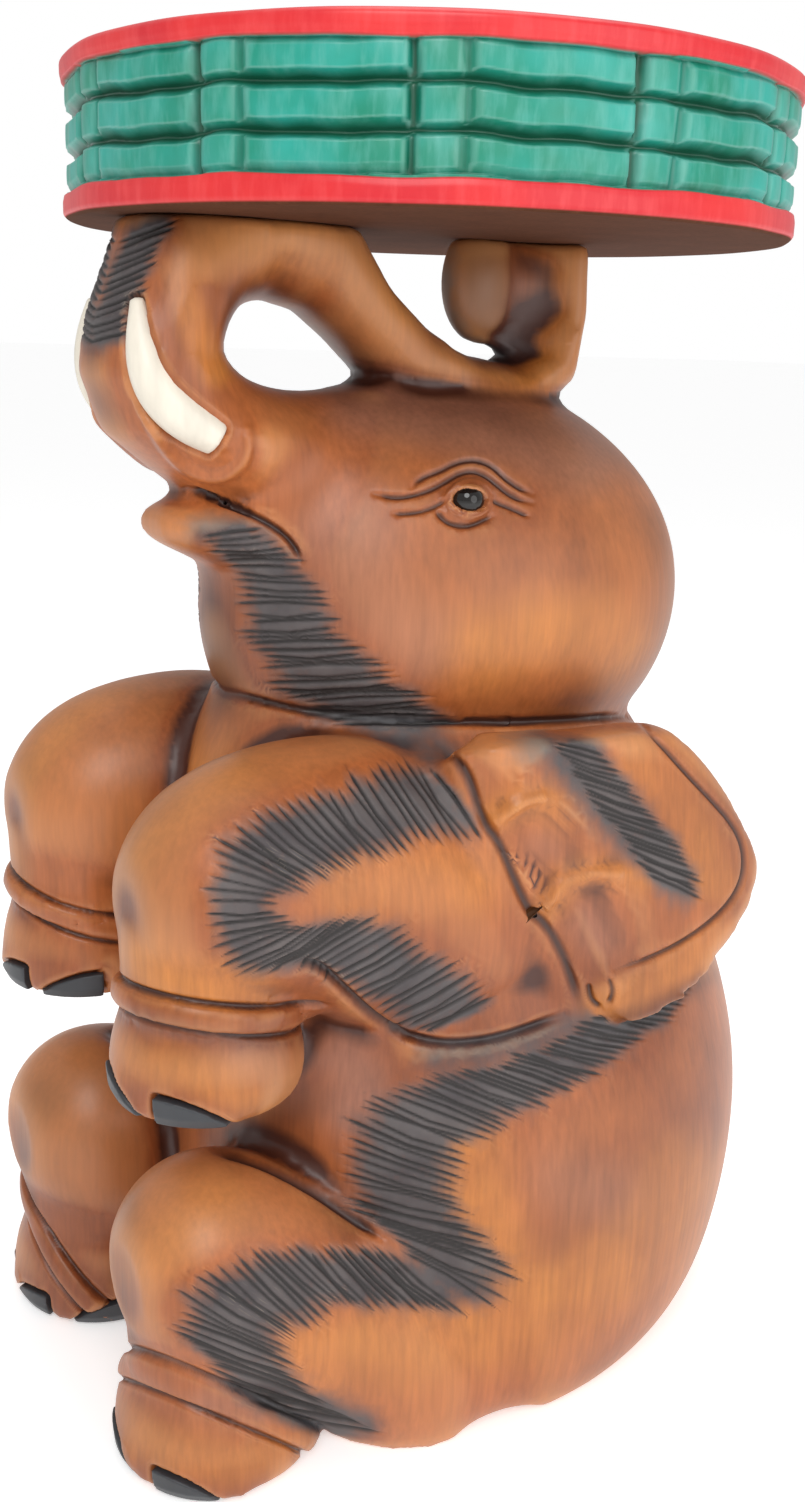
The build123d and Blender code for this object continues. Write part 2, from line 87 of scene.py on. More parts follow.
# Feet: how far a foot's middle lies to the side and to the front, and its nails' outward turn in degrees.
FOOT_SIDE = 0.060
FEET = {"front": (0.126, 17.0), "hind": (0.122, 24.0)}
FOOT_RADIUS = 0.036
NAIL_WIDENING = 1.45
TUSK_SINK = 1.5 * MILLIMETRE

# The curl at the trunk's tip, in metres. Its middle lies in front of the trunk's back end, and the slimming
# sets in between the two places of each pair: before and behind that middle, and above the floor.
CURL_MIDDLE = 0.0355
CURL_FRONT = (-0.034, -0.028)
CURL_BACK = (0.024, 0.012)
CURL_HEIGHT = (0.420, 0.430)
CURL_AXIS = 0.002
CURL_SIDE_SLIMMING = 0.5
CURL_LONG_SLIMMING = 0.27

# ------------------------------------------------------------------ the carver's marks
# Marks on the elephant are set out in the camera's own picture, in pixels, on its left side.
# The right side is carved as the mirror image of the left.
PICTURE_WIDTH = 805
PICTURE_HEIGHT = 1502
SENSOR_WIDTH = 36.0
OUT_OF_PICTURE = -1000.0

# Hair: each band runs between two edges, and its strokes join a place on one to its place on the other.
Band = namedtuple("Band", "nodes strokes start end")
JAW_HAIR = Band(
    ("head", "lower_jaw", "torso"), 32,
    ((200, 538), (212, 553), (232, 570), (239, 592), (239, 622), (246, 642),
     (258, 664), (270, 682), (284, 697), (300, 706), (316, 716), (335, 724)),
    ((262, 528), (292, 549), (308, 572), (328, 598), (333, 618), (350, 640),
     (380, 662), (392, 676), (412, 692), (430, 700), (445, 712), (452, 722)),
)
SHOULDER_HAIR = Band(
    ("foreleg",), 66,
    ((425, 762), (392, 762), (358, 772), (325, 785), (295, 800), (262, 808), (238, 828), (212, 848),
     (206, 868), (205, 887), (205, 907), (208, 928), (212, 948), (225, 968), (255, 975), (290, 966),
     (318, 975), (345, 992), (372, 1010), (402, 1033), (440, 1040), (480, 1037), (520, 1028)),
    ((478, 835), (445, 842), (412, 848), (385, 858), (355, 862), (335, 870), (318, 882), (304, 892),
     (292, 893), (284, 897), (286, 908), (284, 918), (292, 928), (318, 922), (345, 917), (368, 916),
     (402, 926), (428, 944), (450, 964), (485, 990), (510, 1002), (535, 1010), (560, 1012)),
)
THIGH_HAIR = Band(
    ("hind_leg", "torso"), 42,
    ((387, 1250), (343, 1247), (300, 1247), (273, 1250), (250, 1252), (230, 1263), (210, 1273), (190, 1283),
     (178, 1295), (172, 1308), (176, 1323), (184, 1338), (197, 1352), (212, 1367), (228, 1383), (245, 1398)),
    ((463, 1313), (400, 1307), (357, 1310), (340, 1307), (317, 1322), (300, 1330), (296, 1333), (290, 1340),
     (286, 1350), (289, 1360), (296, 1368), (302, 1383), (317, 1397), (333, 1411), (353, 1420), (372, 1430)),
)
BODY_HAIR = Band(
    ("torso", "hind_leg"), 60,
    ((680, 970), (650, 985), (622, 1002), (593, 1016), (565, 1032), (537, 1046), (505, 1058), (470, 1070),
     (430, 1072), (405, 1082), (375, 1096), (356, 1112), (346, 1130), (342, 1150), (342, 1172), (345, 1195),
     (355, 1212), (382, 1222), (392, 1236), (396, 1248)),
    ((698, 978), (690, 995), (680, 1010), (660, 1028), (635, 1045), (610, 1064), (580, 1083), (552, 1100),
     (528, 1112), (505, 1124), (485, 1136), (470, 1155), (462, 1172), (460, 1190), (466, 1206), (474, 1225),
     (492, 1248), (512, 1266), (516, 1286), (495, 1308)),
)
EAR_HAIR = Band(
    ("ear",), 23,
    ((556, 742), (566, 764), (580, 786), (597, 806), (614, 828), (632, 852), (652, 876)),
    ((606, 756), (632, 786), (652, 812), (668, 830), (684, 852), (698, 878), (704, 900)),
)
TRUNK_WRINKLES = Band(
    ("trunk",), 13,
    ((122, 240), (112, 262), (104, 282), (95, 300), (88, 316), (84, 330), (82, 344)),
    ((176, 220), (164, 240), (154, 260), (147, 278), (140, 295), (136, 312), (130, 332)),
)
HAIR = (JAW_HAIR, SHOULDER_HAIR, THIGH_HAIR, BODY_HAIR, EAR_HAIR, TRUNK_WRINKLES)

# Gouge lines: half width in pixels, depth in millimetres. A raised line has a depth below zero.
Cut = namedtuple("Cut", "nodes width depth points")
EAR_FRONT = (
    (438, 744), (454, 757), (466, 777), (477, 805), (487, 828), (496, 838), (506, 858), (519, 890),
    (530, 912), (543, 922), (553, 936), (565, 962), (575, 990), (580, 1010),
)
CUTS = (
    # eyelids, from the upper fold down, and the raised rims of the eye
    Cut(("head",), 4.5, 1.3, (
        (412, 488), (421, 478), (440, 471), (453, 464), (466, 460), (479, 460), (493, 466), (503, 476),
        (516, 486), (532, 494))),
    Cut(("head",), 4.5, 1.6, (
        (374, 494), (396, 498), (415, 495), (433, 489), (446, 481), (459, 473), (473, 470), (486, 475),
        (496, 483), (508, 493), (519, 499), (532, 503))),
    Cut(("head",), 4.0, 1.3, ((394, 514), (416, 513), (433, 508), (445, 500))),
    Cut(("head",), 4.0, 1.3, ((492, 500), (500, 504), (511, 508), (528, 516))),
    Cut(("head",), 4.5, 1.6, ((436, 510), (440, 516), (448, 523), (463, 527), (477, 524), (492, 516))),
    Cut(("head",), 5.0, -0.9, ((440, 502), (448, 494), (461, 483), (474, 480), (487, 485), (498, 496))),
    Cut(("head",), 4.0, -0.7, ((446, 510), (456, 517), (468, 519), (481, 515), (490, 508))),
    # mouth, neck, arm and thigh creases
    Cut(("head", "lower_jaw", "trunk"), 6.0, 3.0, (
        (186, 488), (215, 499), (240, 508), (262, 519), (282, 532), (294, 546), (301, 561))),
    Cut(("head", "torso"), 7.0, 2.5, (
        (215, 690), (300, 712), (380, 720), (440, 722), (540, 722), (640, 716))),
    Cut(("foreleg", "torso"), 8.0, 3.5, (
        (286, 970), (305, 964), (322, 968), (345, 992), (372, 1018), (402, 1036), (440, 1044), (480, 1042),
        (520, 1032), (565, 1014))),
    Cut(("hind_leg", "torso"), 7.0, 2.5, ((215, 1150), (260, 1162), (310, 1188), (350, 1216), (382, 1238))),
    # ear: front edge, raised folds, rim and the curl at its tip
    Cut(("ear", "foreleg", "torso"), 9.0, 1.8, EAR_FRONT),
    Cut(("ear",), 13.0, -1.8, ((492, 826), (506, 812), (524, 802), (548, 796))),
    Cut(("ear",), 13.0, -2.0, ((538, 914), (550, 898), (568, 883), (594, 873), (626, 873))),
    Cut(("ear",), 4.0, 1.6, (
        (618, 971), (643, 961), (677, 946), (711, 923), (733, 900), (744, 877), (745, 851), (735, 826),
        (712, 800), (689, 776), (660, 743), (640, 722))),
    Cut(("ear",), 5.0, 1.6, ((588, 984), (590, 1000), (600, 1008))),
    Cut(("ear",), 5.0, 1.4, ((610, 980), (614, 992), (608, 1004))),
    # raised lip of the tusk's channel
    Cut(("trunk",), 9.0, -2.0, (
        (126, 345), (137, 395), (158, 440), (188, 472), (222, 480), (248, 460), (248, 430))),
)

# Shallow bowls between the folds of the ear, the swelling round the eye and the opening of its lids:
# depth in millimetres, half sizes in pixels, turn in degrees. A swelling has a depth below zero.
Bowl = namedtuple("Bowl", "nodes depth centre half_sizes turn power")
EYE_OPENING = Bowl(("head",), 5.0, (469, 500), (17, 10.5), 4, 0.25)
BOWLS = (
    Bowl(("ear",), 2.2, (492, 775), (28, 42), -25, 0.75),
    Bowl(("ear",), 3.0, (545, 850), (44, 50), -28, 0.75),
    Bowl(("ear",), 3.2, (597, 930), (42, 60), -22, 0.75),
    Bowl(("head",), -1.5, (469, 500), (25, 20), 0, 0.6),
    EYE_OPENING,
)

# Raised rings round the ankles: a plane through each left ankle, by its middle and its normal.
# Places, reach, half width and rise are in millimetres.
Ring = namedtuple("Ring", "node middle normal reach half_width rise")
RINGS = (
    Ring("foreleg", (60.0, -133.8, 194.0), (-0.140, 0.251, 0.958), 54.0, 4.6, 2.4),
    Ring("hind_leg", (60.0, -134.7, 24.6), (-0.372, 0.622, 0.688), 62.0, 4.6, 2.2),
)

# Where one form runs into the next without a crease: reach in pixels, rounds of smoothing, and the line.
Blend = namedtuple("Blend", "reach rounds points")
BLENDS = (
    Blend(52, 100, ((262, 385), (318, 400), (332, 440), (318, 480), (296, 515))),
    Blend(44, 60, ((395, 1245), (450, 1280), (495, 1330), (505, 1380), (495, 1425))),
    Blend(30, 20, ((205, 590), (240, 600), (280, 590), (305, 575))),
    Blend(20, 6, ((175, 770), (215, 700))),
    Blend(34, 80, EAR_FRONT),
    Blend(26, 50, ((524, 850), (540, 885))),
    Blend(22, 10, (
        (560, 725), (646, 712), (677, 743), (706, 780), (737, 820), (754, 849), (760, 871), (754, 897),
        (734, 926), (706, 954), (669, 977), (637, 997), (606, 1014))),
)

# Stains, scorching and painted light laid over the wood: kind, nodes (none means all), reach in pixels,
# strength, and the line.
Stain = namedtuple("Stain", "kind nodes reach strength points")
STAINS_AND_LIGHT = (
    Stain("burn", ("foreleg", "torso", "head"), 34, 0.8, ((400, 728), (440, 750), (462, 800))),
    Stain("burn", ("ear",), 30, 0.9, ((530, 742), (556, 752), (590, 792), (640, 850))),
    Stain("burn", ("torso", "foreleg"), 24, 0.75, ((430, 1058), (480, 1052), (540, 1038), (590, 1020))),
    Stain("burn", ("trunk",), 20, 1.0, ((160, 222), (140, 240), (128, 262))),
    Stain("burn", ("trunk",), 12, 0.6, ((450, 255), (446, 300), (460, 335), (480, 352))),
    Stain("burn", ("trunk",), 15, 0.9, ((475, 352), (500, 354), (528, 342))),
    Stain("burn", ("lower_jaw",), 26, 0.8, ((205, 530), (235, 530), (262, 540))),
    Stain("burn", ("hind_leg",), 22, 0.9, ((320, 1405), (345, 1418), (366, 1424))),
    # painted shade: dark brown under the chin, under and inside the trunk's curl, in the folds, behind the
    # ear, along front edges and between the legs
    Stain("umber", ("head", "torso"), 44, 1.0, ((200, 600), (210, 650), (212, 690))),
    Stain("umber", ("trunk",), 14, 0.8, ((250, 292), (285, 292), (320, 318), (350, 350), (400, 385))),
    Stain("umber", ("trunk",), 46, 1.0, ((484, 262), (486, 300), (494, 335))),
    Stain("umber", ("trunk",), 12, 0.7, ((236, 296), (228, 330), (238, 365))),
    Stain("umber", ("trunk",), 20, 0.7, ((88, 330), (84, 380), (110, 430))),
    Stain("umber", (), 16, 0.6, ((600, 1022), (660, 1008), (720, 965))),
    Stain("umber", (), 26, 0.5, ((250, 1130), (330, 1190), (350, 1230))),
    Stain("umber", (), 24, 0.6, ((128, 830), (122, 900), (130, 960))),
    Stain("umber", (), 24, 0.6, ((126, 1190), (118, 1260), (125, 1340))),
    Stain("umber", (), 14, 0.5, ((120, 1012), (200, 1038), (300, 1040))),
    Stain("umber", ("head",), 18, 0.25, ((330, 388), (420, 402), (520, 424))),
    Stain("umber", (), 26, 0.4, ((655, 520), (672, 580), (655, 660), (560, 715))),
    Stain("umber", (), 30, 0.5, ((230, 1150), (250, 1120), (310, 1100))),
    # worn wood and painted highlight: bright golden patches where the stain is thin and where light catches
    # the bulges and ridges
    Stain("gold", (), 60, 0.8, ((480, 650), (540, 625), (610, 640))),
    Stain("gold", (), 60, 0.9, ((470, 1150), (470, 1200), (500, 1270), (540, 1290))),
    Stain("gold", (), 70, 0.7, ((560, 1290), (650, 1260), (690, 1180))),
    Stain("gold", (), 60, 0.8, ((310, 1360), (400, 1345), (520, 1330))),
    Stain("gold", (), 40, 1.0, ((135, 960), (190, 985), (250, 985))),
    Stain("gold", (), 45, 0.6, ((130, 850), (170, 800), (230, 770))),
    Stain("gold", (), 60, 0.7, ((350, 890), (420, 880), (470, 880))),
    Stain("gold", (), 40, 0.7, ((140, 1260), (180, 1230), (220, 1200))),
    Stain("gold", (), 30, 0.9, ((500, 812), (530, 796), (560, 810))),
    Stain("gold", (), 24, 0.9, ((548, 905), (566, 880), (600, 868), (640, 880))),
    Stain("gold", (), 40, 0.6, ((640, 760), (690, 820), (715, 880))),
    Stain("gold", (), 30, 0.8, ((600, 1005), (650, 985), (720, 940))),
    Stain("gold", ("trunk",), 40, 0.9, ((230, 250), (300, 240), (350, 270), (400, 320))),
    Stain("gold", ("trunk",), 26, 0.9, ((180, 270), (190, 320), (215, 370))),
    Stain("gold", ("trunk",), 30, 0.8, ((440, 375), (520, 400), (560, 350), (565, 270))),
    Stain("gold", (), 34, 0.8, ((250, 1100), (200, 1075), (130, 1060))),
    Stain("gold", (), 34, 0.7, ((140, 1440), (230, 1470), (300, 1450))),
    # painted sheen: greyed, lighter patches on the head, cheek, belly, ear and feet, standing in for light
    # reflected off the wax
    Stain("haze", (), 60, 1.0, ((360, 400), (470, 420), (580, 455))),
    Stain("haze", (), 60, 0.6, ((330, 540), (380, 600), (430, 640))),
    Stain("haze", (), 40, 0.8, ((330, 1040), (370, 1080), (350, 1110))),
    Stain("haze", (), 30, 0.7, ((545, 850), (545, 850.1))),
    Stain("haze", (), 36, 0.7, ((590, 925), (600, 940))),
    Stain("haze", (), 34, 0.7, ((220, 1060), (260, 1062))),
    Stain("haze", (), 50, 0.5, ((560, 1180), (620, 1200))),
    Stain("haze", (), 30, 0.6, ((600, 730), (640, 740))),
    Stain("haze", (), 30, 0.6, ((250, 1410), (210, 1400))),
)

# How many rounds of smoothing over the skin feather each stain, the scorching, the painted shade, highlight
# and sheen, and the cuts.
FEATHERING = {"burn": 10, "gold": 6, "haze": 6, "umber": 6, "cut": 1}

# Each hair stroke is drawn by hand. Its bend and the slip of its ends are shares of its length, and its own
# depth and width are shares of the usual ones, each drawn between two limits.
STROKE_BEND = (-0.03, 0.06)
STROKE_START_SLIP = (-0.14, 0.05)
STROKE_END_SLIP = (-0.05, 0.14)
STROKE_OWN_DEPTH = (0.7, 1.0)
STROKE_OWN_WIDTH = (0.8, 1.15)
# A stroke tapers over a share of its length, down to shares of its width and depth, and so does a cut.
STROKE_TAPER = 0.16
STROKE_THIN_END = 0.35
STROKE_SHALLOW_END = 0.25
CUT_TAPER = 0.1
CUT_SHALLOW_END = 0.3
# Scorching fades in between these shares of the stroke's length.
SCORCH_FADE = (-0.02, 0.34)
# The share of its reach over which a mark has its full strength.
SCORCH_CORE = 0.4
STAIN_AND_LIGHT_CORE = 0.2
BLEND_CORE = 0.45
RING_CORE = 0.85
# Marks fade out where the skin turns away from the camera, between these cosines.
FACING_FADE = (-0.05, 0.15)

# Where the skin gets finer faces: reach round the hair in pixels, one pass each, then round the other marks.
FINE_REACHES = (12.0, 5.0)
FINE_CUT_SHARE = 0.8
FINE_RING_REACH = 9.0
FINE_EYE_WINDOW = (24, 17)
INLAY_MARGIN = 4 * MILLIMETRE
LABEL_MARGIN = 6 * MILLIMETRE
# How far a joint's cap lies under the skin, and how far a vertex lies under its neighbours in a full hollow.
CAP_DEPTH = 3 * MILLIMETRE
FULL_HOLLOW = 0.12 * MILLIMETRE
# The wall of the channel round an inlay starts and ends this far from it.
CHANNEL_WALL = (0.4 * MILLIMETRE, 2.2 * MILLIMETRE)
# Creases beside a ring, in millimetres: their distance from it, half width and depth.
CREASE_PLACE = 0.8
CREASE_WIDTH = 1.7
CREASE_DEPTH = 1.7
# How far the creases beside a ring take the darker colour of a gouge's bottom.
CREASE_DARKENING = 0.8

# ------------------------------------------------------------------ the seat's marks
# The band is carved as rows of bamboo, in stations round the seat: at each, a knuckle and then a long bar.
# Lengths are in millimetres. Row shares and groove shares run from the lowest row to the highest.
SEAT_STEPS = 640
STATIONS = 12
STATION_START = -6.0
STATION_PITCH = 72.5
KNUCKLE_END = 16.0
ROW_SHARES = (0.31, 0.37, 0.32)
UNDER_GROOVES = (0.3, 1.0, 1.0)
UPPER_GROOVES = (1.0, 1.0, 0.35)
# How much of a row's height the slope of its lower and its upper edge takes, on a knuckle and on a bar.
UNDER_SLOPES = (0.17, 0.27)
UPPER_SLOPES = (0.14, 0.20)
KNUCKLE_GROOVE_SHARE = 0.75
ROW_CROWN = 0.5
KNUCKLE_SADDLE = 1.3
BAR_SWAY = 0.35
NOTCH_DEPTH = 4.6
NOTCH_REACH = 2.2
SOFT_NOTCH_PLACE = KNUCKLE_END + 0.5
SOFT_NOTCH_DEPTH = 2.6
SOFT_NOTCH_REACH = 3.4
# How the hand slants and shifts each row at a station, and shifts its edges as a share of the band.
ROW_SLANT = 1.2
ROW_SLIP = 0.8
EDGE_SLIP = 0.012
# The band lies back from the rims, and the rims are rounded at the corners and dip beside the band.
BAND_INSET = 1.6
RIM_INSET = 0.25
RIM_ROUNDING = 1.8
RIM_CORNER = 2.2
RIM_DIP = 0.5
RIM_DIP_REACH = 3.0
PAINT_START = 0.8
# Green paint is painted darkest in the grooves as painted shade, which starts this deep and is full so much
# deeper.
GROOVE_START = 2.2
GROOVE_SPAN = 3.6
# Waves round the seat: height, how many to the turn, and start in degrees.
ROW_WAVES = ((0.012, 5, 74.4845), (0.010, 13, 0), (0.006, 31, 40))
EDGE_WAVES = ((0.45, 4, 20), (0.35, 11, 0), (0.2, 23, 50))
RIM_WAVES = ((0.25, 17, 0),)

# ------------------------------------------------------------------ stage
FLOOR_SIZE = 30.0
FLOOR_WHITE = (0.95, 0.95, 0.95, 1)
FLOOR_GLOW = 0.4
SOFT_LIGHT = 0.6
LAMP_TARGET = (0, 0, 0.26)
# Lamps: name, place, width and power.
LAMPS = (
    ("key", (1.05, -0.75, 1.35), 0.9, 11.0),
    ("fill", (1.45, 0.35, 0.65), 1.2, 6.0),
    ("top", (-0.1, 0.2, 1.7), 1.0, 6.0),
)

# ------------------------------------------------------------------ sizes and colours
WHITE = (1, 1, 1, 1)
BUMP_HEIGHT = 0.6 * MILLIMETRE
PLAIN_ROUGHNESS = {"nail_wood": 0.45, "tusk_wood": 0.38, "eye_bead": 0.06, "dowel_wood": 0.6}


def linear(red, green, blue):
    """Colour for a shader from ordinary screen values."""
    shares = [value / 255 for value in (red, green, blue)]
    return (*[s / 12.92 if s <= 0.04045 else ((s + 0.055) / 1.055) ** 2.4 for s in shares], 1.0)


def dye(name, description, red, green, blue):
    """A colour of the stool, given in ordinary screen values."""
    return bpy.props.FloatVectorProperty(
        name=name, description=description, default=linear(red, green, blue),
        size=4, min=0.0, max=1.0, subtype="COLOR")


class StoolSizes(bpy.types.PropertyGroup):
    """Sizes of the carving and the seat, and the camera."""

    voxel: bpy.props.FloatProperty(
        name="Skin grid", description="Spacing of the carved skin's coarse grid",
        default=3.2 * MILLIMETRE, unit="LENGTH")
    stroke_width: bpy.props.FloatProperty(
        name="Stroke width", description="Half width of a hair groove, in picture pixels", default=2.6)
    stroke_depth: bpy.props.FloatProperty(
        name="Stroke depth", description="Depth of a hair groove", default=1.1 * MILLIMETRE, unit="LENGTH")
    burn_reach: bpy.props.FloatProperty(
        name="Scorch reach", description="How far scorching reaches round a stroke, in picture pixels",
        default=15.0)
    channel_depth: bpy.props.FloatProperty(
        name="Tusk channel depth", description="Depth of the channel round a tusk",
        default=6.0 * MILLIMETRE, unit="LENGTH")
    nail_bed: bpy.props.FloatProperty(
        name="Nail bed depth", description="Depth of the bed round a nail",
        default=3.0 * MILLIMETRE, unit="LENGTH")
    rim_top: bpy.props.FloatProperty(
        name="Upper rim", description="Height of the seat's upper red rim",
        default=7.0 * MILLIMETRE, unit="LENGTH")
    rim_bottom: bpy.props.FloatProperty(
        name="Lower rim", description="Height of the seat's lower red rim",
        default=9.0 * MILLIMETRE, unit="LENGTH")
    band_groove: bpy.props.FloatProperty(
        name="Band groove depth", description="Depth of the grooves between the rows of the band",
        default=4.3 * MILLIMETRE, unit="LENGTH")
    lens: bpy.props.FloatProperty(name="Lens", description="Focal length in millimetres", default=34.85)
    camera_turn: bpy.props.FloatProperty(
        name="Camera turn", description="Turn of the camera about the vertical",
        default=math.radians(56.62), subtype="ANGLE")
    camera_dip: bpy.props.FloatProperty(
        name="Camera dip", description="How far the camera looks down",
        default=math.radians(16), subtype="ANGLE")
    camera_roll: bpy.props.FloatProperty(
        name="Camera roll", description="Roll about the line of sight",
        default=math.radians(1.86), subtype="ANGLE")
    camera_place: bpy.props.FloatVectorProperty(
        name="Camera place", description="Where the camera stands",
        default=(0.50503, -0.33681, 0.42876), subtype="TRANSLATION", unit="LENGTH")


class StoolColours(bpy.types.PropertyGroup):
    """Stains, scorching, paint and inlays, with the painted shade, highlights and sheen of the wood."""

    stain_dark: dye("Dark stain", "Darker patches of the stained wood", 146, 78, 42)
    stain_light: dye("Light stain", "Lighter patches of the stained wood", 184, 104, 54)
    # painted sheen: this greyed colour stands in for light reflected off the waxed wood
    haze: dye("Haze", "Greyed patches where the wax has dulled", 162, 112, 92)
    # painted shade: a dark brown laid where shade falls in the folds and under the chin
    umber: dye("Umber", "Dark stain rubbed into the folds", 74, 32, 17)
    # worn wood and painted highlight: wood where the stain is thin, also used as a painted highlight on the
    # bulges
    gold: dye("Gold", "Bright wood where the stain has worn thin", 208, 130, 56)
    ridge: dye("Ridge", "Wood worn bare on the edges", 224, 158, 100)
    # painted shade: the colour that darkens the hollows, standing in for the shade that gathers there
    hollow: dye("Hollow", "Stain gathered in the hollows", 70, 34, 22)
    cut: dye("Cut", "Bottom of a gouge line", 58, 32, 24)
    groove: dye("Groove", "Bottom of a hair groove", 36, 31, 30)
    soot_dark: dye("Dark soot", "Darker scorching round the hair", 56, 57, 61)
    soot_light: dye("Light soot", "Lighter scorching round the hair", 84, 82, 83)
    soot_ridge: dye("Worn soot", "Scorching rubbed off the edges", 150, 138, 122)
    seat_wood: dye("Seat wood", "Bare wood of the seat's top and underside", 96, 60, 42)
    green_dark: dye("Dark green", "Thick green paint", 14, 128, 102)
    green_light: dye("Light green", "Thin green paint", 34, 156, 142)
    green_scuffed: dye("Scuffed green", "Green paint where it is scuffed", 96, 170, 158)
    # painted shade: the darker green of the grooves between the rows
    green_groove: dye("Groove green", "Green paint in the grooves", 6, 78, 56)
    # worn paint and painted highlight: the pale green along the band's raised edges
    green_ridge: dye("Worn green", "Green paint worn on the edges", 130, 180, 168)
    red_dark: dye("Dark red", "Thick red paint", 200, 24, 36)
    red_light: dye("Light red", "Thin red paint", 216, 44, 44)
    red_scuffed: dye("Scuffed red", "Red paint where it is scuffed", 236, 96, 96)
    nail_wood: dye("Nails", "Dark wood of the nails", 52, 54, 58)
    tusk_wood: dye("Tusks", "Pale wood of the tusks", 232, 224, 208)
    eye_bead: dye("Eyes", "Glossy bead of the eyes", 24, 20, 18)
    dowel_wood: dye("Dowels", "Plain wood of the dowels", 190, 155, 110)


def sizes():
    return bpy.context.scene.stool_sizes


def colours():
    return bpy.context.scene.stool_colours


# ------------------------------------------------------------------ picture geometry


def camera_axes():
    """Right, up and forward directions of the camera."""
    turn, dip, roll = sizes().camera_turn, sizes().camera_dip, sizes().camera_roll
    level = Vector((math.cos(turn), math.sin(turn), 0))
    look = Vector((-math.sin(turn) * math.cos(dip), math.cos(turn) * math.cos(dip), -math.sin(dip)))
    upright = level.cross(look)
    right = level * math.cos(roll) + upright * math.sin(roll)
    up = upright * math.cos(roll) - level * math.sin(roll)
    return right, up, look


def picture_place(points):
    """Picture coordinates of points, given as rows in metres."""
    right, up, look = (np.array(axis) for axis in camera_axes())
    away = points - np.array(sizes().camera_place)
    depth = away @ look
    scale = sizes().lens / SENSOR_WIDTH * PICTURE_HEIGHT / depth
    across = PICTURE_WIDTH / 2 + (away @ right) * scale
    down = PICTURE_HEIGHT / 2 - (away @ up) * scale
    return np.stack([across, down], 1)


def line_distance(places, line, reach=80.0):
    """Distance of each place to a line and the share along it, without the places out of reach."""
    line = np.asarray(line, float)
    inside = (places > line.min(0) - reach).all(1) & (places < line.max(0) + reach).all(1)
    near = np.flatnonzero(inside)
    distance, share = np.full(len(places), np.inf), np.zeros(len(places))
    distance[near], share[near] = close_distance(places[near], line)
    return distance, share


def close_distance(places, line):
    """Distance of each place to a line, and how far along it the nearest point is, from 0 to 1."""
    steps = np.linalg.norm(np.diff(line, axis=0), axis=1)
    starts = np.concatenate([[0], np.cumsum(steps)])
    nearest = np.full(len(places), np.inf)
    along = np.zeros(len(places))
    for first, second, step, start in zip(line, line[1:], steps, starts):
        share = np.clip((places - first) @ (second - first) / step**2, 0, 1)
        distance = np.linalg.norm(places - first - share[:, None] * (second - first), axis=1)
        closer = distance < nearest
        nearest[closer] = distance[closer]
        along[closer] = (start + share * step)[closer] / starts[-1]
    return nearest, along


def rounded(line, rounds=2):
    """The same line with its corners cut off, so that it bends softly."""
    line = np.asarray(line, float)
    for _ in range(rounds):
        early = line[:-1] * 0.75 + line[1:] * 0.25
        late = line[:-1] * 0.25 + line[1:] * 0.75
        middle = np.stack([early, late], 1).reshape(-1, 2)
        line = np.concatenate([line[:1], middle[1:-1], line[-1:]])
    return line


def paired_edges(band):
    """Both edges of a band with one point per stroke, matched place by place."""
    start, end = rounded(band.start), rounded(band.end)
    middle = (start + end) / 2
    starts = np.concatenate([[0], np.cumsum(np.linalg.norm(np.diff(middle, axis=0), axis=1))])
    wanted = np.linspace(0, starts[-1], band.strokes)
    edges = []
    for edge in (start, end):
        edges.append(np.stack([np.interp(wanted, starts, edge[:, axis]) for axis in (0, 1)], 1))
    return edges


def smoothstep(low, high, values):
    """0 up to low, 1 from high on, and a soft rise between them."""
    share = np.clip((values - low) / (high - low), 0, 1)
    return share * share * (3 - 2 * share)


# ------------------------------------------------------------------ mesh helpers


def merged_copy(nodes):
    """Merged copy of CAD nodes as one mesh."""
    joined = bmesh.new()
    for node in nodes:
        joined.from_mesh(frame["nodes"][node].data)
    bmesh.ops.remove_doubles(joined, verts=joined.verts, dist=SAME_PLACE)
    return joined


def made_mesh(name, shape):
    """A mesh with the finished shape, which is freed."""
    mesh = bpy.data.meshes.new(name)
    shape.to_mesh(mesh)
    shape.free()
    return mesh


def new_object(name, mesh):
    piece = bpy.data.objects.new(name, mesh)
    bpy.context.scene.collection.objects.link(piece)
    return piece


def remeshed(name, source, voxel):
    """Object with an even skin over the source mesh, inner walls left out."""
    mesh = made_mesh(name, source)
    piece = new_object(name, mesh)
    modifier = piece.modifiers.new("skin", "REMESH")
    modifier.mode = "VOXEL"
    modifier.voxel_size = voxel
    evaluated = piece.evaluated_get(bpy.context.evaluated_depsgraph_get())
    skin = bpy.data.meshes.new_from_object(evaluated)
    piece.modifiers.clear()
    piece.data = skin
    bpy.data.meshes.remove(mesh)
    if not skin.polygons:
        raise RuntimeError(f"no skin could be made for {name}")
    return piece


def vertex_rows(mesh, kind="co"):
    """Places or normals of a mesh's vertices, one row each."""
    rows = np.empty(len(mesh.vertices) * 3, np.float32)
    mesh.vertices.foreach_get(kind, rows)
    return rows.reshape(-1, 3).astype(float)


def face_rows(mesh, kind):
    """Centres or normals of a mesh's faces, one row each."""
    rows = np.empty(len(mesh.polygons) * 3, np.float32)
    mesh.polygons.foreach_get(kind, rows)
    return rows.reshape(-1, 3).astype(float)


def place_vertices(mesh, rows):
    mesh.vertices.foreach_set("co", rows.astype(np.float32).ravel())
    mesh.update()


def edge_rows(mesh):
    rows = np.empty(len(mesh.edges) * 2, np.int32)
    mesh.edges.foreach_get("vertices", rows)
    return rows.reshape(-1, 2)


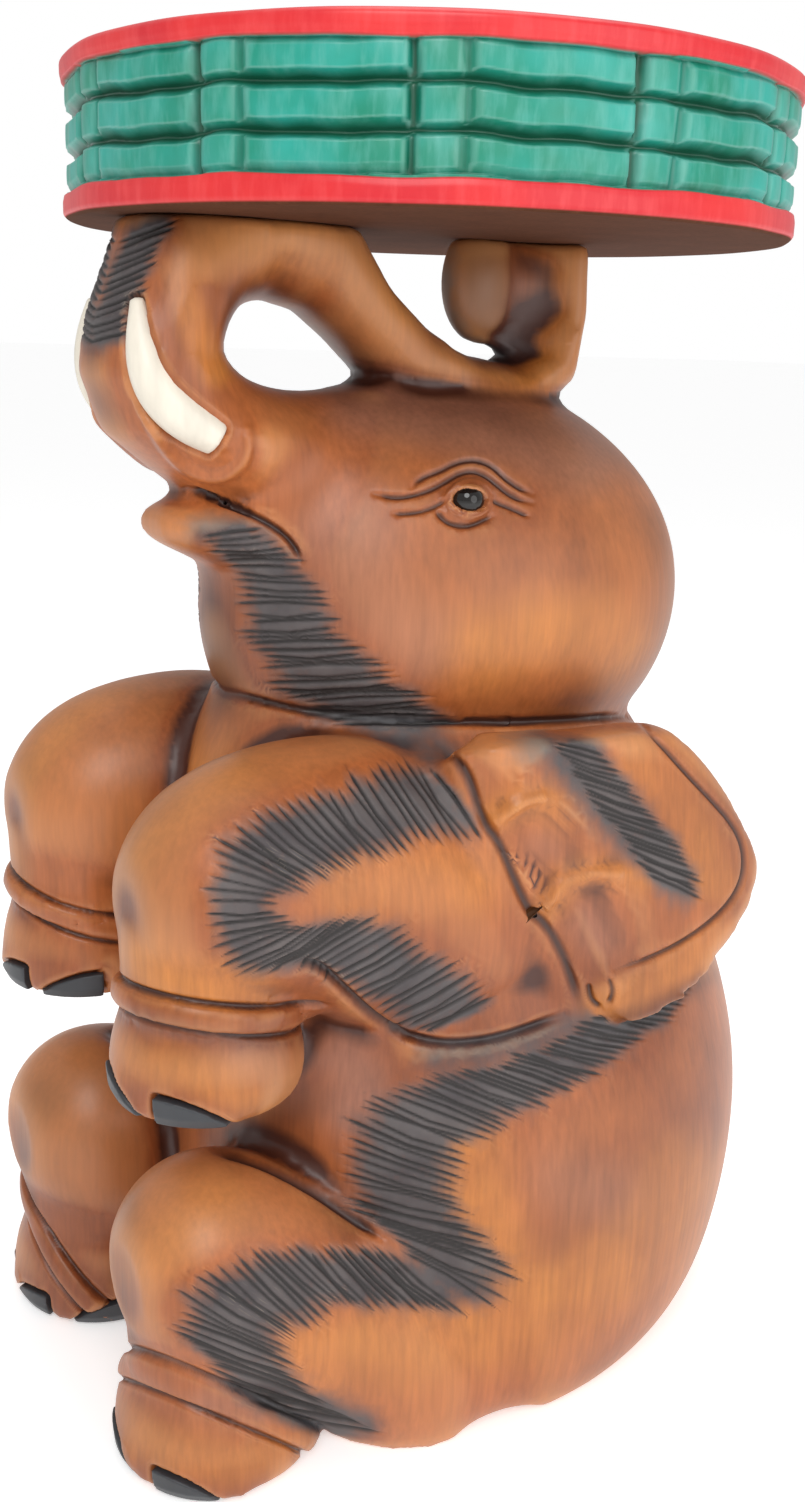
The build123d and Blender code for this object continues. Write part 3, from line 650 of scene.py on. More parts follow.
def neighbour_mean(values, edges, count):
    """Mean of each vertex's neighbours."""
    degree = np.bincount(edges.ravel(), minlength=count)
    columns = []
    for column in values.T if values.ndim > 1 else values[None]:
        total = np.bincount(edges[:, 0], column[edges[:, 1]], count)
        total += np.bincount(edges[:, 1], column[edges[:, 0]], count)
        columns.append(total / np.maximum(degree, 1))
    return np.stack(columns, 1) if values.ndim > 1 else columns[0]


def relax(mesh, rounds, weight=None):
    """Smooths a skin without shrinking it; weight says where."""
    rows, edges = vertex_rows(mesh), edge_rows(mesh)
    share = 1.0 if weight is None else weight[:, None]
    for _ in range(rounds):
        for factor in (0.5, -0.52):
            rows += factor * share * (neighbour_mean(rows, edges, len(rows)) - rows)
    place_vertices(mesh, rows)


def refine(mesh, chosen):
    """Splits the chosen faces in four."""
    skin = bmesh.new()
    skin.from_mesh(mesh)
    skin.faces.ensure_lookup_table()
    edges = {edge for index in np.flatnonzero(chosen) for edge in skin.faces[index].edges}
    bmesh.ops.subdivide_edges(skin, edges=list(edges), cuts=1, use_grid_fill=True)
    skin.to_mesh(mesh)
    skin.free()


def islands(mesh):
    """Vertex numbers of each unconnected part of a mesh."""
    edges = edge_rows(mesh)
    mark = np.arange(len(mesh.vertices))
    while True:
        lowest = mark.copy()
        np.minimum.at(lowest, edges[:, 0], mark[edges[:, 1]])
        np.minimum.at(lowest, edges[:, 1], mark[edges[:, 0]])
        lowest = lowest[lowest]
        if (lowest == mark).all():
            return [np.flatnonzero(mark == number) for number in np.unique(mark)]
        mark = lowest


def mirrored_left(rows):
    """The same places on the elephant's left side."""
    return rows * np.array([1.0, 0, 0]) * np.sign(rows[:, :1] + 1e-12) + rows * np.array([0, 1.0, 1.0])


def facing_camera(rows, normals):
    """Cosine between each normal and the line to the camera, both taken over to the left side."""
    left, turned = mirrored_left(rows), normals.copy()
    turned[:, 0] *= np.sign(rows[:, 0] + 1e-12)
    to_camera = np.array(sizes().camera_place) - left
    return (turned * to_camera).sum(1) / np.linalg.norm(to_camera, axis=1)


def softened(values, edges):
    """Each vertex's value drawn part of the way to its neighbours'."""
    return 0.4 * values + 0.6 * neighbour_mean(values, edges, len(values))


def within(rows, low, high, margin):
    """Which places lie in a box that is wider than its corners by the margin."""
    return ((rows > np.array(low) - margin) & (rows < np.array(high) + margin)).all(1)


def hollows(mesh, rounds):
    """How deep each vertex lies among its neighbours, from -1 on a ridge to 1 in a hollow."""
    rows, edges = vertex_rows(mesh), edge_rows(mesh)
    depth = ((neighbour_mean(rows, edges, len(rows)) - rows) * vertex_rows(mesh, "normal")).sum(1)
    for _ in range(rounds):
        depth = neighbour_mean(depth, edges, len(rows))
    return np.clip(depth / FULL_HOLLOW, -1, 1)


def store(mesh, name, values):
    attribute = mesh.attributes.get(name) or mesh.attributes.new(name, "FLOAT", "POINT")
    attribute.data.foreach_set("value", values.astype(np.float32))


# ------------------------------------------------------------------ carving


def search_tree(shape):
    """Search tree over the finished shape, which is freed."""
    tree = BVHTree.FromBMesh(shape)
    shape.free()
    return tree


def labelled(rows):
    """The node that each place on the skin belongs to, as its number in CARVED_NODES."""
    nearest = np.full(len(rows), np.inf)
    label = np.zeros(len(rows), int)
    for index, node in enumerate(CARVED_NODES):
        tree = search_tree(merged_copy([node]))
        for place in np.flatnonzero(within(rows, *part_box(node), LABEL_MARGIN)):
            distance = tree.find_nearest(rows[place])[3]
            if distance is not None and distance < nearest[place]:
                nearest[place] = distance
                label[place] = index
    return label


def settled(label, mesh, rounds=24):
    """Labels with ragged borders and stray islands smoothed away, for vertices and for faces."""
    edges = edge_rows(mesh)
    fields = np.eye(len(CARVED_NODES))[label]
    for _ in range(rounds):
        fields = softened(fields, edges)
    corners = np.empty(len(mesh.loops), np.int32)
    mesh.loops.foreach_get("vertex_index", corners)
    counts = np.empty(len(mesh.polygons), np.int32)
    mesh.polygons.foreach_get("loop_total", counts)
    owner = np.repeat(np.arange(len(counts)), counts)
    sums = [np.bincount(owner, column[corners], len(counts)) for column in fields.T]
    return fields.argmax(1), np.stack(sums, 1).argmax(1)


def belongs(label, words):
    """Which labels stand for a node whose name starts with one of the words; no words mean every node."""
    words = words or ("",)
    chosen = [any(node.startswith(word) for word in words) for node in CARVED_NODES]
    return np.array(chosen)[label]


def hair_near(places, reach):
    """Which picture places lie within reach of a hair stroke."""
    near = np.zeros(len(places), bool)
    for band in HAIR:
        for first, second in zip(*paired_edges(band)):
            near |= line_distance(places, (first, second), reach)[0] < reach
    return near


def stroke_fields(places, band, random):
    """Groove depth (0 to 1) and scorching (0 to 1) of one band at each picture place."""
    groove = np.zeros(len(places))
    burn = np.zeros(len(places))
    width, reach = sizes().stroke_width, sizes().burn_reach
    for first, second in zip(*paired_edges(band)):
        length = np.linalg.norm(second - first)
        side = np.array([first[1] - second[1], second[0] - first[0]]) / length
        bend = random.uniform(*STROKE_BEND) * length
        start_slip = random.uniform(*STROKE_START_SLIP) * length
        end_slip = random.uniform(*STROKE_END_SLIP) * length
        own_depth = random.uniform(*STROKE_OWN_DEPTH)
        own_width = random.uniform(*STROKE_OWN_WIDTH) * width
        along = (second - first) / length
        middle = (first + second) / 2 + side * bend
        line = (first + along * start_slip, middle, second + along * end_slip)
        distance, share = line_distance(places, line, reach)
        near = distance < reach
        taper = faded_ends(share, 0.0, STROKE_TAPER)
        slope = np.clip(1 - distance / (own_width * at_least(STROKE_THIN_END, taper)), 0, 1)
        profile = own_depth * slope**0.8 * at_least(STROKE_SHALLOW_END, taper)
        groove[near] = np.maximum(groove[near], profile[near])
        scorch = within_reach(distance, reach, SCORCH_CORE) * faded_ends(share, *SCORCH_FADE)
        burn[near] = np.maximum(burn[near], scorch[near])
    return groove, burn


def within_reach(distance, reach, core):
    """1 near a mark, fading out from a share of its reach to the whole of it."""
    return 1 - smoothstep(reach * core, reach, distance)


def at_least(low, share):
    """The share, raised so that it runs from low to 1."""
    return low + (1 - low) * share


def faded_ends(share, low, high):
    """1 along the middle of a line, fading out towards both of its ends."""
    return smoothstep(low, high, share) * smoothstep(low, high, 1 - share)


class Carving:
    """Depth of the carver's marks and share of each stain, scorching, painted shade, painted highlight and
    painted sheen, for every vertex of the skin.
    """

    def __init__(self, mesh, label):
        self.rows, self.normals = vertex_rows(mesh), vertex_rows(mesh, "normal")
        self.label = label
        self.left = mirrored_left(self.rows)
        self.places = picture_place(self.left)
        self.facing = smoothstep(*FACING_FADE, facing_camera(self.rows, self.normals))
        self.depth = np.zeros(len(self.rows))
        self.shares = {kind: np.zeros(len(self.rows)) for kind in ("groove", *FEATHERING)}

    def seen(self, nodes):
        """Which vertices are on these nodes and face the camera's side."""
        return belongs(self.label, nodes) & (self.facing > 0)

    def lay(self, kind, own, values):
        """Strengthens one kind of mark to these values where it is weaker: a groove, a cut, a stain,
        scorching, or painted shade, highlight or sheen.
        """
        self.shares[kind][own] = np.maximum(self.shares[kind][own], values)

    def hair(self):
        random = np.random.RandomState(7)
        for band in HAIR:
            own = self.seen(band.nodes)
            groove, burn = stroke_fields(self.places[own], band, random)
            self.lay("groove", own, groove * self.facing[own])
            self.lay("burn", own, burn * self.facing[own])
        self.depth += self.shares["groove"] * sizes().stroke_depth

    def cuts(self):
        for mark in CUTS:
            own = self.seen(mark.nodes)
            distance, share = line_distance(self.places[own], rounded(mark.points))
            slope = smoothstep(0, 1, np.clip(1 - distance / mark.width, 0, 1))
            taper = faded_ends(share, 0, CUT_TAPER)
            profile = slope * at_least(CUT_SHALLOW_END, taper) * self.facing[own]
            self.depth[own] += profile * mark.depth * MILLIMETRE
            if mark.depth > 0:
                self.lay("cut", own, profile)

    def bowls(self):
        for bowl in BOWLS:
            own = self.seen(bowl.nodes)
            share = bowl_profile(self.places[own], bowl) * self.facing[own]
            self.depth[own] += share * bowl.depth * MILLIMETRE

    def rings(self):
        for ring in RINGS:
            own = belongs(self.label, (ring.node,))
            rise, crease = ring_profile(self.left[own], ring)
            self.depth[own] -= rise
            self.lay("cut", own, CREASE_DARKENING * crease)

    # scorching, painted shade, worn wood with a painted highlight, and painted sheen, laid along their lines
    def stains(self):
        for stain in STAINS_AND_LIGHT:
            own = self.seen(stain.nodes)
            distance = line_distance(self.places[own], rounded(stain.points))[0]
            share = within_reach(distance, stain.reach, STAIN_AND_LIGHT_CORE)
            self.lay(stain.kind, own, stain.strength * share * self.facing[own])

    def carve(self, mesh):
        """Makes every mark, moves the skin and stores what the material needs for the stains, scorching and
        painted shade, highlight and sheen.
        """
        self.hair()
        self.cuts()
        self.bowls()
        self.rings()
        self.stains()
        edges = edge_rows(mesh)
        for kind, rounds in FEATHERING.items():
            for _ in range(rounds):
                self.shares[kind] = softened(self.shares[kind], edges)
        rows = self.rows - self.normals * self.depth[:, None]
        rows[:, 2] = np.maximum(rows[:, 2], 0)
        place_vertices(mesh, rows)
        # how deeply each vertex lies among its neighbours: the material darkens the hollows with it as
        # painted shade and lightens the ridges as worn wood
        self.shares["hollow"] = hollows(mesh, 4)
        for kind, values in self.shares.items():
            store(mesh, kind, values)


def bowl_profile(places, bowl):
    """Depth shares of a shallow bowl: full at its centre, none at its rim."""
    turn = math.radians(bowl.turn)
    away = places - np.array(bowl.centre)
    across = away[:, 0] * math.cos(turn) + away[:, 1] * math.sin(turn)
    down = -away[:, 0] * math.sin(turn) + away[:, 1] * math.cos(turn)
    spread = (across / bowl.half_sizes[0]) ** 2 + (down / bowl.half_sizes[1]) ** 2
    return np.clip(1 - spread, 0, 1) ** bowl.power


def ring_distance(rows, ring):
    """Signed distance of places on the left side to a ring's plane, and how far they are in its reach."""
    away = rows / MILLIMETRE - np.array(ring.middle)
    offset = away @ np.array(ring.normal)
    return offset, within_reach(np.linalg.norm(away, axis=1), ring.reach, RING_CORE)


def ring_profile(rows, ring):
    """Rise of a ring in metres, and the shares of the creases beside it."""
    offset, near = ring_distance(rows, ring)
    rise = ring.rise * np.clip(1 - (offset / ring.half_width) ** 2, 0, 1) ** 0.5
    crease = np.clip(1 - np.abs(np.abs(offset) - ring.half_width - CREASE_PLACE) / CREASE_WIDTH, 0, 1)
    return (rise - CREASE_DEPTH * crease) * near * MILLIMETRE, crease * near


def blend_forms(mesh):
    """Fills the creases where one form of the elephant runs into the next."""
    edges = edge_rows(mesh)
    for blend in BLENDS:
        rows = vertex_rows(mesh)
        distance = line_distance(picture_place(mirrored_left(rows)), rounded(blend.points))[0]
        share = within_reach(distance, blend.reach, BLEND_CORE)[:, None]
        for _ in range(blend.rounds):
            rows += 0.5 * share * (neighbour_mean(rows, edges, len(rows)) - rows)
        place_vertices(mesh, rows)


def slim_curl(mesh):
    """Narrows the curled tip of the trunk, which is thinner than the column it hangs from."""
    rows = vertex_rows(mesh)
    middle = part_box("trunk")[1].y - CURL_MIDDLE
    along = rows[:, 1] - middle
    share = smoothstep(*CURL_FRONT, along) * smoothstep(*CURL_BACK, along)
    share *= smoothstep(*CURL_HEIGHT, rows[:, 2])
    rows[:, 0] *= 1 - CURL_SIDE_SLIMMING * share
    rows[:, 1] -= CURL_LONG_SLIMMING * share * (rows[:, 1] - CURL_AXIS)
    place_vertices(mesh, rows)


def sink_round(mesh, inlay, depth):
    """Presses a channel into the skin round an inlaid piece."""
    rows, normals = vertex_rows(mesh), vertex_rows(mesh, "normal")
    copy = bmesh.new()
    copy.from_mesh(inlay.data)
    tree = search_tree(copy)
    corners = vertex_rows(inlay.data)
    pressed = np.zeros(len(rows))
    for place in np.flatnonzero(within(rows, corners.min(0), corners.max(0), INLAY_MARGIN)):
        distance = tree.find_nearest(rows[place])[3]
        pressed[place] = 1 - smoothstep(*CHANNEL_WALL, distance)
    rows -= normals * (pressed * depth)[:, None]
    place_vertices(mesh, rows)
    relax(mesh, 1, pressed)


class STOOL_OT_elephant(bpy.types.Operator):
    """Carves the elephant: one even skin over its CAD nodes, cut, stained and parted again by node"""

    bl_idname = "stool.elephant"
    bl_label = "Carve elephant"

    def execute(self, context):
        solids = merged_copy(CARVED_NODES + TUSKS + NAILS + EYES)
        skin = remeshed("elephant", solids, sizes().voxel)
        mesh = skin.data
        relax(mesh, 6)
        slim_curl(mesh)
        blend_forms(mesh)
        self.make_finer(mesh)
        label, face_label = settled(labelled(vertex_rows(mesh)), mesh)
        for nodes, depth in ((TUSKS, sizes().channel_depth), (NAILS, sizes().nail_bed)):
            for node in nodes:
                sink_round(mesh, bpy.data.objects["inlaid_" + node], depth)
        Carving(mesh, label).carve(mesh)
        self.part_by_node(skin, face_label)
        return {"FINISHED"}

    def make_finer(self, mesh):
        """Splits the faces where hair, cuts, rings, inlays and the eye need detail."""
        for reach in FINE_REACHES:
            centres = face_rows(mesh, "center")
            left = mirrored_left(centres)
            places = picture_place(left)
            places[facing_camera(centres, face_rows(mesh, "normal")) < 0] = OUT_OF_PICTURE
            chosen = hair_near(places, reach)
            for mark in CUTS:
                chosen |= line_distance(places, mark.points)[0] < reach * FINE_CUT_SHARE
            for ring in RINGS:
                offset, near = ring_distance(left, ring)
                chosen |= (np.abs(offset) < FINE_RING_REACH) & (near > 0)
            for node in NAILS + TUSKS:
                chosen |= within(centres, *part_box(node), INLAY_MARGIN)
            refine(mesh, chosen)
            relax(mesh, 2)
        eye = picture_place(mirrored_left(face_rows(mesh, "center"))) - np.array(EYE_OPENING.centre)
        refine(mesh, (np.abs(eye) < np.array(FINE_EYE_WINDOW)).all(1))

    def part_by_node(self, skin, label):
        """One closed piece per CAD node, with normals that run on across the joints."""
        mesh = skin.data
        normals = mesh.attributes.new("skin_normal", "FLOAT_VECTOR", "POINT")
        normals.data.foreach_set("vector", vertex_rows(mesh, "normal").astype(np.float32).ravel())
        mesh.materials.clear()
        for node in CARVED_NODES:
            mesh.materials.append(bpy.data.materials.new("part_" + node))
        mesh.polygons.foreach_set("material_index", label.astype(np.int32))
        bpy.ops.object.select_all(action="DESELECT")
        skin.select_set(True)
        bpy.context.view_layer.objects.active = skin
        bpy.ops.object.mode_set(mode="EDIT")
        bpy.ops.mesh.select_all(action="SELECT")
        bpy.ops.mesh.separate(type="MATERIAL")
        bpy.ops.object.mode_set(mode="OBJECT")
        for piece in list(bpy.context.selected_objects):
            self.finish_piece(piece, piece.data.materials[0].name[len("part_"):])
        missing = [node for node in CARVED_NODES if "carved_" + node not in bpy.data.objects]
        if missing:
            raise RuntimeError(f"the skin has no part for {', '.join(missing)}")

    def finish_piece(self, piece, node):
        """Closes the joint with a cap just under the skin, and dresses the piece."""
        part = bmesh.new()
        part.from_mesh(piece.data)
        normal = part.verts.layers.float_vector["skin_normal"]
        open_edges = [edge for edge in part.edges if edge.is_boundary]
        grown = bmesh.ops.extrude_edge_only(part, edges=open_edges)["geom"]
        for vertex in (item for item in grown if isinstance(item, bmesh.types.BMVert)):
            vertex.co -= vertex[normal] * CAP_DEPTH
        rim = [edge for edge in part.edges if edge.is_boundary]
        bmesh.ops.holes_fill(part, edges=rim, sides=0)
        bmesh.ops.triangulate(part, faces=[face for face in part.faces if len(face.verts) > 4])
        part.to_mesh(piece.data)
        part.free()
        piece.name = "carved_" + node
        piece.data.name = piece.name
        dress(piece, node, "carved_wood")
        normals = np.empty(len(piece.data.vertices) * 3, np.float32)
        piece.data.attributes["skin_normal"].data.foreach_get("vector", normals)
        piece.data.normals_split_custom_set_from_vertices(normals.reshape(-1, 3).tolist())
        piece.data.attributes.remove(piece.data.attributes["skin_normal"])


# ------------------------------------------------------------------ materials


class Shader:
    """Short hand for building a node tree."""

    def __init__(self, name):
        self.material = bpy.data.materials.new("stool_" + name)
        self.material.use_nodes = True
        self.tree = self.material.node_tree
        self.surface = self.tree.nodes["Principled BSDF"]

    def node(self, kind, **inputs):
        made = self.tree.nodes.new(kind)
        for key, value in inputs.items():
            self.feed(made.inputs[key], value)
        return made

    def feed(self, socket, value):
        """Links a socket to another, or sets it to a plain value."""
        if isinstance(value, bpy.types.NodeSocket):
            self.tree.links.new(value, socket)
        else:
            socket.default_value = value

    def attribute(self, name):
        made = self.node("ShaderNodeAttribute")
        made.attribute_name = name
        return made.outputs["Fac"]

    def noise(self, scale, detail=3.0, stretch=(1, 1, 1)):
        """Noise over the object's own coordinates, from 0 to 1."""
        place = self.node("ShaderNodeTexCoord").outputs["Object"]
        stretched = self.node("ShaderNodeMapping", Vector=place, Scale=stretch).outputs["Vector"]
        made = self.node("ShaderNodeTexNoise", Vector=stretched, Scale=scale, Detail=detail, Roughness=0.55)
        return made.outputs["Fac"]

    def ramp(self, value, low, high):
        """0 at low and 1 at high."""
        made = self.node("ShaderNodeMapRange", Value=value)
        made.inputs["From Min"].default_value = low
        made.inputs["From Max"].default_value = high
        return made.outputs["Result"]

    def maths(self, operation, first, second):
        made = self.tree.nodes.new("ShaderNodeMath")
        made.operation = operation
        self.feed(made.inputs[0], first)
        self.feed(made.inputs[1], second)
        return made.outputs[0]

    def times(self, first, second):
        return self.maths("MULTIPLY", first, second)

    def plus(self, first, second):
        return self.maths("ADD", first, second)

    def mix(self, share, first, second, blend="MIX"):
        """The second colour over the first, by its share."""
        made = self.tree.nodes.new("ShaderNodeMix")
        made.data_type = "RGBA"
        made.blend_type = blend
        factor, start, end = made.inputs[0], made.inputs[6], made.inputs[7]
        self.feed(factor, share)
        self.feed(start, first)
        self.feed(end, second)
        return made.outputs[2]

    def patches(self, scale, detail, low, high, first, second):
        """Two colours in soft patches."""
        return self.mix(self.ramp(self.noise(scale, detail), low, high), first, second)

    def finish(self, colour, roughness, height=None, strength=0.0):
        """Connects colour, roughness and a fine relief to the surface."""
        self.feed(self.surface.inputs["Base Color"], colour)
        self.feed(self.surface.inputs["Roughness"], roughness)
        if height:
            bump = self.node("ShaderNodeBump", Height=height, Strength=strength, Distance=BUMP_HEIGHT)
            self.feed(self.surface.inputs["Normal"], bump.outputs["Normal"])
        return self.material


def grain(shader, colour):
    """Fine and coarse upright streaks over a wood colour."""
    for share, detail, stretch, streak in (
        (0.35, 5.0, (420, 420, 26), (150, 150, 150)),
        (0.3, 3.0, (60, 60, 7), (170, 165, 160)),
    ):
        streaks = shader.ramp(shader.noise(1.0, detail, stretch), 0.3, 0.7)
        colour = shader.mix(share, colour, shader.mix(streaks, linear(*streak), WHITE), "MULTIPLY")
    return colour


def carved_wood():
    """Stained, scorched and worn wood with painted shade in the folds and hollows, painted highlights and a
    painted sheen, led by what the carving stored on the skin.
    """
    shader, dyes = Shader("carved_wood"), colours()
    colour = shader.patches(9.0, 4.0, 0.38, 0.62, dyes.stain_dark, dyes.stain_light)
    # painted sheen: greyed, lighter patches where light would reflect off the wax
    colour = shader.mix(shader.times(shader.attribute("haze"), 0.75), colour, dyes.haze)
    # painted shade: darkens the folds, the throat and the places between the parts
    colour = shader.mix(shader.times(shader.attribute("umber"), 0.92), colour, dyes.umber)
    # worn wood and painted highlight: mottled golden patches on the bulges and ridges
    mottle = shader.ramp(shader.noise(34.0, 4.0), 0.4, 0.7)
    wear_and_highlight_share = shader.times(shader.attribute("gold"), shader.plus(0.55, shader.times(mottle, 0.45)))
    colour = grain(shader, shader.mix(wear_and_highlight_share, colour, dyes.gold))
    hollow = shader.attribute("hollow")
    colour = shader.mix(shader.times(shader.ramp(hollow, -0.1, -0.9), 0.35), colour, dyes.ridge)
    # painted shade: the hollows darken towards the hollow colour
    colour = shader.mix(shader.ramp(hollow, 0.15, 0.9), colour, dyes.hollow)
    colour = shader.mix(shader.ramp(shader.attribute("cut"), 0.2, 1.0), colour, dyes.cut)
    ash = shader.times(shader.plus(shader.noise(160.0, 3.0), -0.5), 0.5)
    scorch = shader.ramp(shader.plus(shader.attribute("burn"), ash), 0.08, 0.95)
    soot = shader.patches(40.0, 3.0, 0.35, 0.65, dyes.soot_dark, dyes.soot_light)
    colour = shader.mix(shader.times(scorch, 0.95), colour, soot)
    rubbed = shader.times(shader.ramp(hollow, -0.25, -1.0), shader.times(scorch, 0.5))
    colour = shader.mix(rubbed, colour, dyes.soot_ridge)
    colour = shader.mix(shader.ramp(shader.attribute("groove"), 0.08, 0.65), colour, dyes.groove)
    roughness = shader.plus(0.4, shader.times(scorch, 0.22))
    return shader.finish(colour, roughness, shader.noise(1.0, 4.0, (320, 320, 30)), 0.1)


def seat_paint():
    """Bare wood with green and red paint, thin where it is scuffed, pale on the band's edges as worn paint
    and painted highlight, and darker in the grooves as painted shade.
    """
    shader, dyes = Shader("seat_paint"), colours()
    wood = grain(shader, dyes.seat_wood)
    scuff = shader.ramp(shader.noise(1.0, 5.0, (260, 260, 60)), 0.45, 0.75)
    # the raised edges of the band, which get pale green as worn paint and painted highlight
    edge = shader.ramp(shader.attribute("hollow"), 0.0, -0.8)
    green = shader.patches(30.0, 3.0, 0.35, 0.65, dyes.green_dark, dyes.green_light)
    green = shader.mix(shader.times(scuff, 0.5), green, dyes.green_scuffed)
    # painted shade: the green darkens with the depth of the grooves
    green = shader.mix(shader.ramp(shader.attribute("groove"), 0.0, 0.9), green, dyes.green_groove)
    green = shader.mix(shader.times(edge, 0.22), green, dyes.green_ridge)
    red = shader.patches(24.0, 3.0, 0.4, 0.7, dyes.red_dark, dyes.red_light)
    red = shader.mix(shader.times(scuff, 0.25), red, dyes.red_scuffed)
    in_green, in_red = shader.attribute("green"), shader.attribute("red")
    colour = shader.mix(in_red, shader.mix(in_green, wood, green), red)
    painted = shader.maths("MAXIMUM", in_green, in_red)
    shader.feed(shader.surface.inputs["Specular IOR Level"], shader.plus(0.1, shader.times(painted, 0.4)))
    roughness = shader.maths("SUBTRACT", 0.9, shader.times(painted, 0.52))
    return shader.finish(colour, roughness, shader.noise(1.0, 4.0, (260, 260, 40)), 0.12)


def plain(slot):
    """One dye with faint darker clouds, for the small pieces."""
    shader, dye_colour = Shader(slot), tuple(getattr(colours(), slot))
    darker = (*[0.82 * channel for channel in dye_colour[:3]], 1)
    clouds = shader.ramp(shader.noise(120.0, 3.0, (1, 1, 0.25)), 0.3, 0.7)
    return shader.finish(shader.mix(clouds, dye_colour, darker), PLAIN_ROUGHNESS[slot])


FINISHES = {"carved_wood": carved_wood, "seat_paint": seat_paint}


def material(slot):
    """The shared material of a slot, made when it is first asked for."""
    made = bpy.data.materials.get("stool_" + slot)
    if made:
        return made
    return FINISHES[slot]() if slot in FINISHES else plain(slot)


def dress(piece, node, slot):
    """Gives a finished piece its material and its place in the frame."""
    piece.data.materials.clear()
    piece.data.materials.append(material(slot))
    piece.data.polygons.foreach_set("use_smooth", np.ones(len(piece.data.polygons), bool))
    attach(piece, "root")
    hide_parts(node)


# ------------------------------------------------------------------ other pieces


class STOOL_OT_inlays(bpy.types.Operator):
    """Smooth tusks, nails and eyes over their CAD nodes"""

    bl_idname = "stool.inlays"
    bl_label = "Make tusks, nails and eyes"

    def execute(self, context):
        for node in TUSKS:
            self.smooth_inlay(node, "tusk_wood", voxel=0.8 * MILLIMETRE, rounds=40)
        for node in NAILS:
            self.smooth_inlay(node, "nail_wood", voxel=0.6 * MILLIMETRE, rounds=4)
        for node in EYES:
            self.bead(node)
        return {"FINISHED"}

    def smooth_inlay(self, node, slot, voxel, rounds):
        """An even skin over an inlay's CAD node, smoothed and moved to its place."""
        inlay = remeshed("inlaid_" + node, merged_copy([node]), voxel)
        relax(inlay.data, rounds)
        inlay.data.transform(self.shift(node))
        if node in NAILS:
            self.widen(inlay.data, node)
        dress(inlay, node, slot)

    def foot(self, node):
        """Middle of the foot that the nails are on, and the angle that they turn by."""
        side = 1 if "left" in node else -1
        reach, turn = FEET[node.split("_")[0]]
        return Vector((side * FOOT_SIDE, -reach, 0)), -side * math.radians(turn)

    def widen(self, mesh, node):
        """Draws each nail of a foot wider and bends it back round the foot."""
        foot = np.array(self.foot(node)[0])
        rows = vertex_rows(mesh)
        for nail in islands(mesh):
            away = rows[nail] - foot
            outward = away.mean(0) * np.array((1, 1, 0))
            outward /= np.linalg.norm(outward)
            across = np.array((-outward[1], outward[0], 0))
            offset = away @ across
            middle = offset.mean()
            wider = middle + (offset - middle) * NAIL_WIDENING
            bend = ((wider - middle) ** 2 - (offset - middle) ** 2) / (2 * FOOT_RADIUS)
            rows[nail] += across * (wider - offset)[:, None] - outward * bend[:, None]
        place_vertices(mesh, rows)

    def shift(self, node):
        """How far an inlay moves from its CAD node: tusks sink in, nails turn about their foot."""
        if node in TUSKS:
            return Matrix.Translation((-TUSK_SINK if "left" in node else TUSK_SINK, 0, 0))
        foot, turn = self.foot(node)
        return Matrix.Translation(foot) @ Matrix.Rotation(turn, 4, "Z") @ Matrix.Translation(-foot)

    def bead(self, node):
        """A glossy ball as high as the eye's CAD node, at its middle."""
        low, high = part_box(node)
        ball = bmesh.new()
        bmesh.ops.create_uvsphere(ball, u_segments=32, v_segments=16, radius=(high - low).z / 2)
        bmesh.ops.translate(ball, verts=ball.verts, vec=(low + high) / 2)
        dress(new_object("bead_" + node, made_mesh("bead_" + node, ball)), node, "eye_bead")


# ------------------------------------------------------------------ seat


def ripple(turn, waves):
    """Sum of waves round the seat."""
    return sum(height * np.sin(np.radians(turn * count + start)) for height, count, start in waves)


def seat_profile():
    """Rings from the middle of the underside, up the side, to the middle of the top.

    Each has its share of the radius, its zone (0 lower rim, 1 band, 2 upper rim) and its place in the zone.
    """
    rings = [(share, 0, 0.0) for share in np.linspace(0, 0.97, 14)]
    for zone, count in ((0, 16), (1, 84), (2, 14)):
        rings += [(1.0, zone, place) for place in np.linspace(0, 1, count, endpoint=zone == 2)]
    rings += [(share, 2, 1.0) for share in np.linspace(0.97, 0, 14)]
    return np.array(rings)


def bamboo_depth(share, here, station, row):
    """Depth of one row: share runs up the row, here along its station."""
    knuckle = (here < KNUCKLE_END) & (here > 0)
    groove = sizes().band_groove / MILLIMETRE * np.where(knuckle, KNUCKLE_GROOVE_SHARE, 1.0)
    under = np.clip(1 - share / np.where(knuckle, *UNDER_SLOPES), 0, 1) ** 0.8
    upper = np.clip(1 - (1 - share) / np.where(knuckle, *UPPER_SLOPES), 0, 1)
    edge = groove * np.maximum(UNDER_GROOVES[row] * under, UPPER_GROOVES[row] * upper)
    crown = ROW_CROWN * (2 * share - 1) ** 2
    across = np.clip(here / KNUCKLE_END, 0, 1) * 2 - 1
    swell = np.where(knuckle, KNUCKLE_SADDLE * across**2, BAR_SWAY * np.sin(here * 0.19 + station) ** 2)
    to_notch = np.minimum(np.abs(here), np.abs(here - STATION_PITCH))
    notch = NOTCH_DEPTH * np.clip(1 - to_notch / NOTCH_REACH, 0, 1) ** 0.7
    soft_notch = SOFT_NOTCH_DEPTH * np.clip(1 - np.abs(here - SOFT_NOTCH_PLACE) / SOFT_NOTCH_REACH, 0, 1)
    return np.maximum.reduce([edge + crown + swell, notch, soft_notch])


